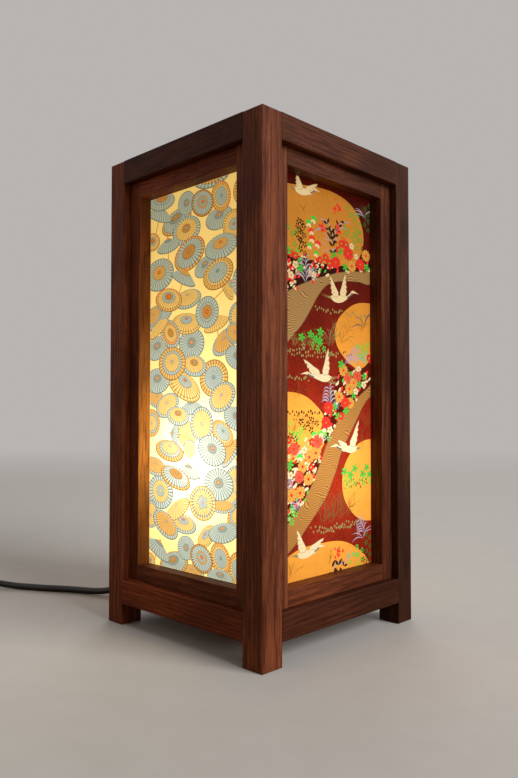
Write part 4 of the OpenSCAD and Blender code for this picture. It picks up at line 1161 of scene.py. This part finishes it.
def thicket_plants(roll):
    for line, tries in THICKETS:
        us, vs = zip(*line)
        for i in range(tries):
            u = roll.uniform(max(-61, min(us)), min(61, max(us)))
            v = roll.uniform(min(vs), max(vs))
            if inside(u, v, line):
                kind = roll.choice((bud, bud, leaf, bud, leaf, bud, bud, leaf, plum_white))
                tint = roll.choice((GREEN, GREEN, OLIVE, IVORY)) if kind is leaf else None
                tint = roll.choice((None, None, IVORY, RED)) if kind is bud else tint
                size = 0.88 if kind in (bud, leaf) else 0.55
                yield placed(kind, u, v, roll.uniform(15, 75), roll.uniform(0.85, 1.1) * size,
                             ON_LAYER["buds"] + i % 3 + 0.1 * (i % 7), colour=tint,
                             mirrored=roll.random() < 0.3, stretch=SQUAT)


def grasses(roll):
    for u, v, count, tint, size in SPRAYS:
        for i in range(count):
            yield placed(blade, u, v, roll.uniform(-15, 45), roll.uniform(0.7, 1.1) * size,
                         ON_LAYER["sprays"], mirrored=i % 2 == 0, colour=tint)
    for u, v, count, tint, size in TUFTS:
        for i in range(count):
            yield placed(hair, u + roll.uniform(-2.5, 2.5), v + roll.uniform(-1, 1),
                         roll.uniform(-50, 30), roll.uniform(0.6, 1.1) * size,
                         ON_LAYER["tufts"], mirrored=i % 2 == 0, colour=tint)
    for u, v, degrees, size in FERNS:
        yield placed(fern, u, v, degrees, size, ON_LAYER["ferns"])
    for start, end, v, tint in FLECK_ROWS:
        for i in range(int((end - start) / FLECK_STEP)):
            at = start + FLECK_STEP * i + roll.uniform(-0.6, 0.6)
            yield placed(fleck, at, v + roll.uniform(-2.0, 2.0), roll.uniform(-20, 20),
                         roll.uniform(1.1, 1.7), ON_LAYER["flecks"], colour=tint)


PAIR_STEP, SPRIG_STEP, SPRIG_OUT = 3.8, 3.6, 2.6  # in mm


def twigs(roll):
    """Pairs of long leaves or small sprigs along a stem, and bunches of red berries."""
    for u, v, degrees, long, size, tint in TWIGS:
        foot, way, side = Vector((u, v)), heading(degrees), heading(degrees + 90)
        pairs = tint is DARK_LEAF and size > 1.2
        step = PAIR_STEP / 2 * size if pairs else SPRIG_STEP
        for i in range(max(1, int(long / step))):
            if pairs:
                at = foot + way * PAIR_STEP * size * (i // 2)
                lean = degrees + (52 if i % 2 else -52) + roll.uniform(-14, 14)
            else:
                at = foot + way * step * i + side * (SPRIG_OUT if i % 2 else -SPRIG_OUT)
                lean = degrees + roll.uniform(-60, 60)
            yield placed(leaf if pairs else sprig, at.x, at.y, lean,
                         roll.uniform(0.8, 1.0) * size * (1.0 if pairs else 0.76),
                         ON_LAYER["twigs"], colour=tint)
    for u, v, wide, high in BERRIES:
        for i in range(16):
            yield placed(berry, u + roll.gauss(0, wide / 2), v + roll.gauss(0, high / 2), 0,
                         roll.uniform(1.0, 1.5), ON_LAYER["berries"],
                         colour=roll.choice((RED, RED, ROSE)))


def blossoms(roll):
    by_name = {s.name: s for s in STAMPS}
    for name, places in BLOSSOMS.items():
        for i, (u, v) in enumerate(places):
            yield placed(by_name[name], u, v, roll.uniform(-20, 20), roll.uniform(0.95, 1.15),
                         ON_LAYER["blossoms"] + 0.3 * (i % 2), stretch=SQUAT)


# %% Print both sides
for side, seed in (("right", 3), ("left", 8)):
    roll = random.Random(seed)
    for kind, shapes in printed_ground().items():
        print_layer(shapes, kind, side)
    flowers = [plant for grow in (thicket_plants, grasses, twigs, blossoms)
               for plant in grow(roll)]
    birds = [placed(bird, *place, degrees, size, ON_LAYER["cranes"], mirrored)
             for bird, (_, _, _, place, degrees, size, mirrored) in zip(flock, CRANES)]
    for name, shapes in (("flowers", flowers), ("cranes", birds)):
        wear(plain_ink.material, *shapes)
        print_layer(shapes, name, side)
discard(*STAMPS, *flock)

# %% [markdown]
# ### Behind the papers: opal sheets and the bulb
# A milky sheet stands behind each paper and spreads the light, and the bulb is a
# 95 mm long opal LED bulb in a screw holder. They can be seen through the open top,
# so they glow too: the globe almost white, the sheets warm and weaker with the
# distance from it. Plastic is never quite even, so each has a faint cloud and grain.

# %% Opal sheets and the bulb
NECK_Z, BRIGHT_Z = 0.134, 0.150  # the globe is dimmer from its middle down to its neck
SOLDER_R, SOLDER_TOP = 0.0046, 0.0636  # the drop of solder at the foot of the cap

sheet = Finish("opal_sheet")
cloud, grain = sheet.noise(45, 4, 0.6), sheet.noise(1400)
lit = sheet.mix(glow(sheet) ** 2, (0.62, 0.40, 0.17), (1.0, 0.90, 0.66))
sheet.bump(grain, 0.2, 0.0001)
sheet.surface(Base_Color=sheet.mix(cloud, (0.74, 0.71, 0.63), (0.80, 0.78, 0.72)),
              Emission_Color=sheet.scaled(lit, glow(sheet) * 0.75 + 0.12),
              Emission_Strength=0.85, Roughness=0.42 + grain * 0.1)
wear(sheet.material, *(side + "_diffuser" for side in SIDES))

globe = Finish("lit_globe")
haze, up = globe.noise(60, 3), globe.place()[2]
lit = globe.mix(up.step(NECK_Z, BRIGHT_Z), (0.85, 0.66, 0.40), (1.0, 0.93, 0.78))
globe.surface(Base_Color=globe.mix(haze, (0.86, 0.84, 0.78), (0.90, 0.89, 0.84)),
              Emission_Color=lit, Emission_Strength=0.95, Roughness=0.30 + haze * 0.12)
wear(globe.material, "bulb_globe")


def moulded(name, ink, other, rough=0.42, scale=900, depth=0.00006):
    """Moulded plastic: fine grain, a slow drift of colour and a little dust on top."""
    plastic = Finish(name)
    grain, drift = plastic.noise(scale, 2, 0.6), plastic.noise(70, 4, 0.65)
    scuff = plastic.noise(260, 5, 0.75).step(0.58, 0.72)
    colour = plastic.mix(drift.step(0.3, 0.7), ink, other)
    colour = plastic.mix(scuff * 0.25, colour, tuple(c * 1.25 + 0.01 for c in other))
    plastic.bump(grain, 0.5, depth)
    return plastic.surface(Base_Color=colour, Roughness=rough + grain * 0.12 + scuff * 0.14)


def bare_metal(name, ink, dull, rough=0.26):
    """Metal with fine rubbing marks and a few dull spots."""
    metal = Finish(name)
    rub = metal.noise(1800, 3, 0.7)
    spot = metal.noise(240, 4, 0.6).step(0.55, 0.72) * 0.45
    metal.bump(rub, 0.3, 0.00003)
    return metal.surface(Base_Color=metal.mix(spot, ink, dull), Metallic=1.0 - spot * 0.5,
                         Roughness=rough + rub * 0.14 + spot * 0.25)


wear(moulded("housing_plastic", (0.72, 0.71, 0.67), (0.66, 0.65, 0.60), 0.45), "bulb_body")
wear(moulded("holder_plastic", (0.70, 0.69, 0.64), (0.63, 0.61, 0.55), 0.36),
     "holder_base", "holder_skirt")
wear(bare_metal("brass", (0.78, 0.54, 0.22), (0.36, 0.22, 0.09)),
     "holder_screw_shell", "holder_contact", "holder_terminals", "switch_contacts")
wear(bare_metal("bulb_cap_plating", (0.66, 0.65, 0.62), (0.38, 0.36, 0.33)), "bulb_cap")
wear(bare_metal("zinc_plating", (0.58, 0.58, 0.56), (0.40, 0.38, 0.33), 0.34), "wood_screws")

tip = Finish("tip_insulator")
x, y, z = tip.place()
solder = (x * x + y * y).root().under(SOLDER_R) * z.under(SOLDER_TOP)
speck = tip.noise(900, 3)
black = tip.mix(speck, (0.010, 0.010, 0.012), (0.03, 0.03, 0.03))
tip.bump(speck, 0.4, 0.00005)
tip.surface(Base_Color=tip.mix(solder, black, (0.52, 0.51, 0.49)), Metallic=solder,
            Roughness=0.30 + speck * 0.2)
wear(tip.material, "bulb_tip")
print("bulb and holder finished")

# %% [markdown]
# ### The base inside the lamp
# The holder stands on a 5 mm birch plywood board, which rests on two pine cleats
# screwed to the rails. Plywood shows one flat veneer on its faces and thin layers,
# light and dark in turn, on its edges. Both can be one solid texture: the layer
# number comes from the height, and it picks the way that the grain runs.

# %% Plywood and pine
BOARD_LOW, VENEER = 0.032, 0.00125  # the board's underside and the thickness of one layer
PINE_HEART, PINE_RING = -0.03, 0.0022  # the height of the tree's middle, and a ring's width

ply = Finish("birch_plywood")
x, y, z = ply.place()
odd = (((z - BOARD_LOW) / VENEER).whole() * 0.5).fraction().over(0.25)
long_grain = ply.noise(700, 4, 0.6, ply.point(x, y * 0.05, z))
cross_grain = ply.noise(700, 4, 0.6, ply.point(x * 0.05, y, z))
fleck = ply.noise(1900, 1, where=ply.point(x, y * 0.10, z)).step(0.62, 0.70)
cloud = ply.noise(22, 4, where=ply.point(x, y * 0.3, z)).step(0.4, 0.7)
colour = ply.mix(ply.mix(odd, long_grain, cross_grain), (0.56, 0.37, 0.20), (0.70, 0.50, 0.29))
colour = ply.mix(odd * 0.45, colour, (0.34, 0.20, 0.09))
colour = ply.mix(fleck * 0.4 + cloud * 0.2, colour, (0.36, 0.21, 0.10))
ply.bump(long_grain, 0.3, 0.0001)
wear(ply.surface(Base_Color=colour, Roughness=0.62 + fleck * 0.15), "base_board")

pine = Finish("pine")  # early and late wood run straight along the cleats
x, y, z = pine.place()
wander = pine.noise(14, 3, where=pine.point(x * 3, y, z * 3))
up = z - PINE_HEART
ring = (((x * x + up * up).root() + wander * 0.004) / PINE_RING).fraction()
late = ring.step(0.5, 0.95) * (1 - ring.step(0.96, 1.0))
fibre = pine.noise(1500, 3, where=pine.point(x, y * 0.04, z))
colour = pine.mix(late * 0.7, (0.62, 0.42, 0.20), (0.44, 0.22, 0.07))
pine.bump(fibre, 0.4, 0.00015)
wear(pine.surface(Base_Color=pine.mix(fibre * 0.3, colour, (0.40, 0.25, 0.11)),
                  Roughness=0.60 + fibre * 0.15), "base_cleats")
print("base finished")

# %% [markdown]
# ### Flex, grommet, switch and plug
# All of it is black, so it is the sheen that tells the pieces apart: the PVC sheath
# of the flex is satin, the rubber of grommet and plug is duller and picks up dust,
# and the hard switch case has a fine moulded grain. Inside the lamp the flex ends
# and its brown and blue cores go up to the terminals.

# %% Black pieces
SHEATH, SHEATH_WORN = (0.012, 0.012, 0.013), (0.022, 0.021, 0.021)
SHEATH_END = -0.0130  # from here to the terminals the cores are bare
THREADS = 1300  # threads of the woven tie to a metre

wear(moulded("flex_sheath", SHEATH, SHEATH_WORN, 0.34, 1200, 0.00004), lead_flex, coil_flex)
wear(moulded("black_rubber", (0.016, 0.016, 0.016), (0.028, 0.027, 0.026), 0.58, 1500, 0.00008),
     "lead_grommet", "plug_body")
wear(moulded("clip_plastic", (0.015, 0.015, 0.016), (0.024, 0.024, 0.025), 0.40), "lead_clip")
wear(moulded("switch_case", (0.014, 0.014, 0.015), (0.022, 0.022, 0.023), 0.40, 2600, 0.00010),
     "switch_base", "switch_cover")

cores = Finish("sheath_and_cores")
x, y, _ = cores.place()
grain = cores.noise(1200)
pair = cores.mix(y.over(0), (0.16, 0.060, 0.022), (0.022, 0.085, 0.33))
black = cores.mix(grain, SHEATH, SHEATH_WORN)
cores.bump(grain, 0.3, 0.00004)
wear(cores.surface(Base_Color=cores.mix(x.over(SHEATH_END), black, pair),
                   Roughness=0.36 + grain * 0.1), "lead_inside")

tie = Finish("woven_tie")
x, y, z = tie.place()
weave = (((x + y) * THREADS).fraction().distance_from(0.5)
         + (z * THREADS).fraction().distance_from(0.5))
fuzz = tie.noise(2600, 4, 0.8)
tie.bump(weave * 0.5 + fuzz, 0.8, 0.0003)
wear(tie.surface(Base_Color=tie.mix(weave * 0.5 + fuzz * 0.5, (0.008, 0.008, 0.009),
                                    (0.040, 0.040, 0.043)), Roughness=0.85), "coil_ties")
print("flex, rubber and switch case finished")

# %% [markdown]
# ### Rocker and pins
# The rocker carries a moulded bar for on and a ring for off. Each is a place on the
# rocker where the distance from a line or a point is small, so a few sums draw them
# in white without any lettering. The pins are nickel plated, with a black
# sleeve on the half next to the plug.

# %% Marks on the rocker, sleeves on the pins
MARKS_OUT, ROCKER_FACE = 6.6, 14.5  # the marks' way from the pivot, the height they start at
BAR_LONG, BAR_HALF, RING_R, RING_HALF = 1.8, 0.32, 1.5, 0.30
SLEEVE_END = 68.0  # from the relief's tip, in mm
switch_at = lead_end + (SWITCH_L / 2 - ENTRY) * heading(switch_heading)


def along_and_across(finish, origin, degrees):
    """Millimetres along a heading and across it, from an origin, and up."""
    x, y, z = finish.place()
    dx, dy = x * 1000 - origin.x, y * 1000 - origin.y
    way = heading(degrees)
    return dx * way.x + dy * way.y, dy * way.x - dx * way.y, z * 1000


rocker = Finish("rocker_plastic")
along, across, up = along_and_across(rocker, switch_at, switch_heading)
grain = rocker.noise(2600)
to_bar = along.distance_from(MARKS_OUT)
on_bar = across.distance_from(0).under(BAR_LONG) * to_bar.under(BAR_HALF)
past = along + MARKS_OUT
off_ring = (past * past + across * across).root().distance_from(RING_R).under(RING_HALF)
mark = (on_bar + off_ring).at_most(1) * up.over(ROCKER_FACE)
black = rocker.mix(grain, (0.013, 0.013, 0.014), (0.024, 0.024, 0.025))
rocker.bump(grain - mark * 0.6, 0.5, 0.00010)
wear(rocker.surface(Base_Color=rocker.mix(mark, black, (0.72, 0.72, 0.70)),
                    Roughness=0.32 + grain * 0.14), "switch_rocker")

pins = Finish("nickel_and_sleeve")
sleeve = along_and_across(pins, relief_at, plug_heading)[0].under(SLEEVE_END)
rub = pins.noise(1800, 3, 0.7)
nickel = pins.mix(rub, (0.60, 0.57, 0.52), (0.52, 0.49, 0.44))
pins.bump(rub, 0.3, 0.00003)
wear(pins.surface(Base_Color=pins.mix(sleeve, nickel, (0.014, 0.014, 0.014)),
                  Metallic=1 - sleeve, Roughness=0.24 + rub * 0.12 + sleeve * 0.2), "plug_pins")
print("marks and pins finished")

# %% [markdown]
# ### Stage and light
# A plain pale floor under a pale grey surround stands in for the table and the wall.
# The light is soft and comes mostly from the right, as in the photograph, so that the
# right side of each post is lighter than its front. Only the camera and reflections
# see the surround's own grey: the light that falls on the lamp is set apart from it.
# The floor looks pale too, but throws back warm light, as a wooden table does. The
# surround is built of nodes like a material, so it can be made as a Finish as well.

# %% Floor, surround and lamps
BACKDROP = from_screen(184, 180, 178)
FADE_FROM, FADE_TO = 1.0, 3.2  # the floor fades into the surround, in metres from the lamp

deselect()
bpy.ops.mesh.primitive_plane_add(size=12, location=(0, 0, 0))
floor = bpy.context.object
floor.name = "floor"
paint = Finish("floor_paint")
pale = paint.mix(paint.noise(40, 3), from_screen(206, 202, 196), from_screen(214, 210, 205))
wear(paint.surface(Base_Color=paint.mix(paint.rays("Camera"), (0.36, 0.25, 0.16), pale),
                   Roughness=0.7, Specular_IOR_Level=0.2), floor)
x, y, _ = paint.place()
far = (x * x + y * y).root().step(FADE_FROM, FADE_TO)
haze = paint.node("ShaderNodeEmission", inputs={"Color": BACKDROP, "Strength": 1.0})
painted = Link(paint, paint.shader.outputs[0])
paint.send(paint.node("ShaderNodeMixShader", inputs={0: far, 1: painted, 2: haze}))

surround = Finish("surround", bpy.data.worlds.new("surround"))
bpy.context.scene.world = surround.material
ambient, backdrop = (surround.node("ShaderNodeBackground", inputs={"Color": c, "Strength": s})
                     for c, s in (((1.0, 0.93, 0.87), 0.21), (BACKDROP, 1.0)))
seen = surround.rays("Camera", "Glossy", "Transmission")
surround.send(surround.node("ShaderNodeMixShader", inputs={0: seen, 1: ambient, 2: backdrop}))


def soft_lamp(name, place, watts, colour=(1, 1, 1)):
    """A square soft lamp that faces the middle of the object."""
    bpy.ops.object.light_add(type="AREA", location=place)
    lamp = bpy.context.object
    lamp.name = lamp.data.name = name
    lamp.data.size = 2.2
    lamp.data.energy = watts
    lamp.data.color = colour
    aim = Vector((0, 0, 0.2)) - Vector(place)
    lamp.rotation_euler = aim.to_track_quat("-Z", "Y").to_euler()


soft_lamp("window_right", (3.2, 0.4, 1.9), 106)
soft_lamp("fill_front", (-1.2, -3.4, 2.6), 7, (1.0, 0.84, 0.70))
soft_lamp("fill_back", (-2.4, 2.8, 2.4), 34)
print("stage and", len(bpy.data.lights), "lamps")
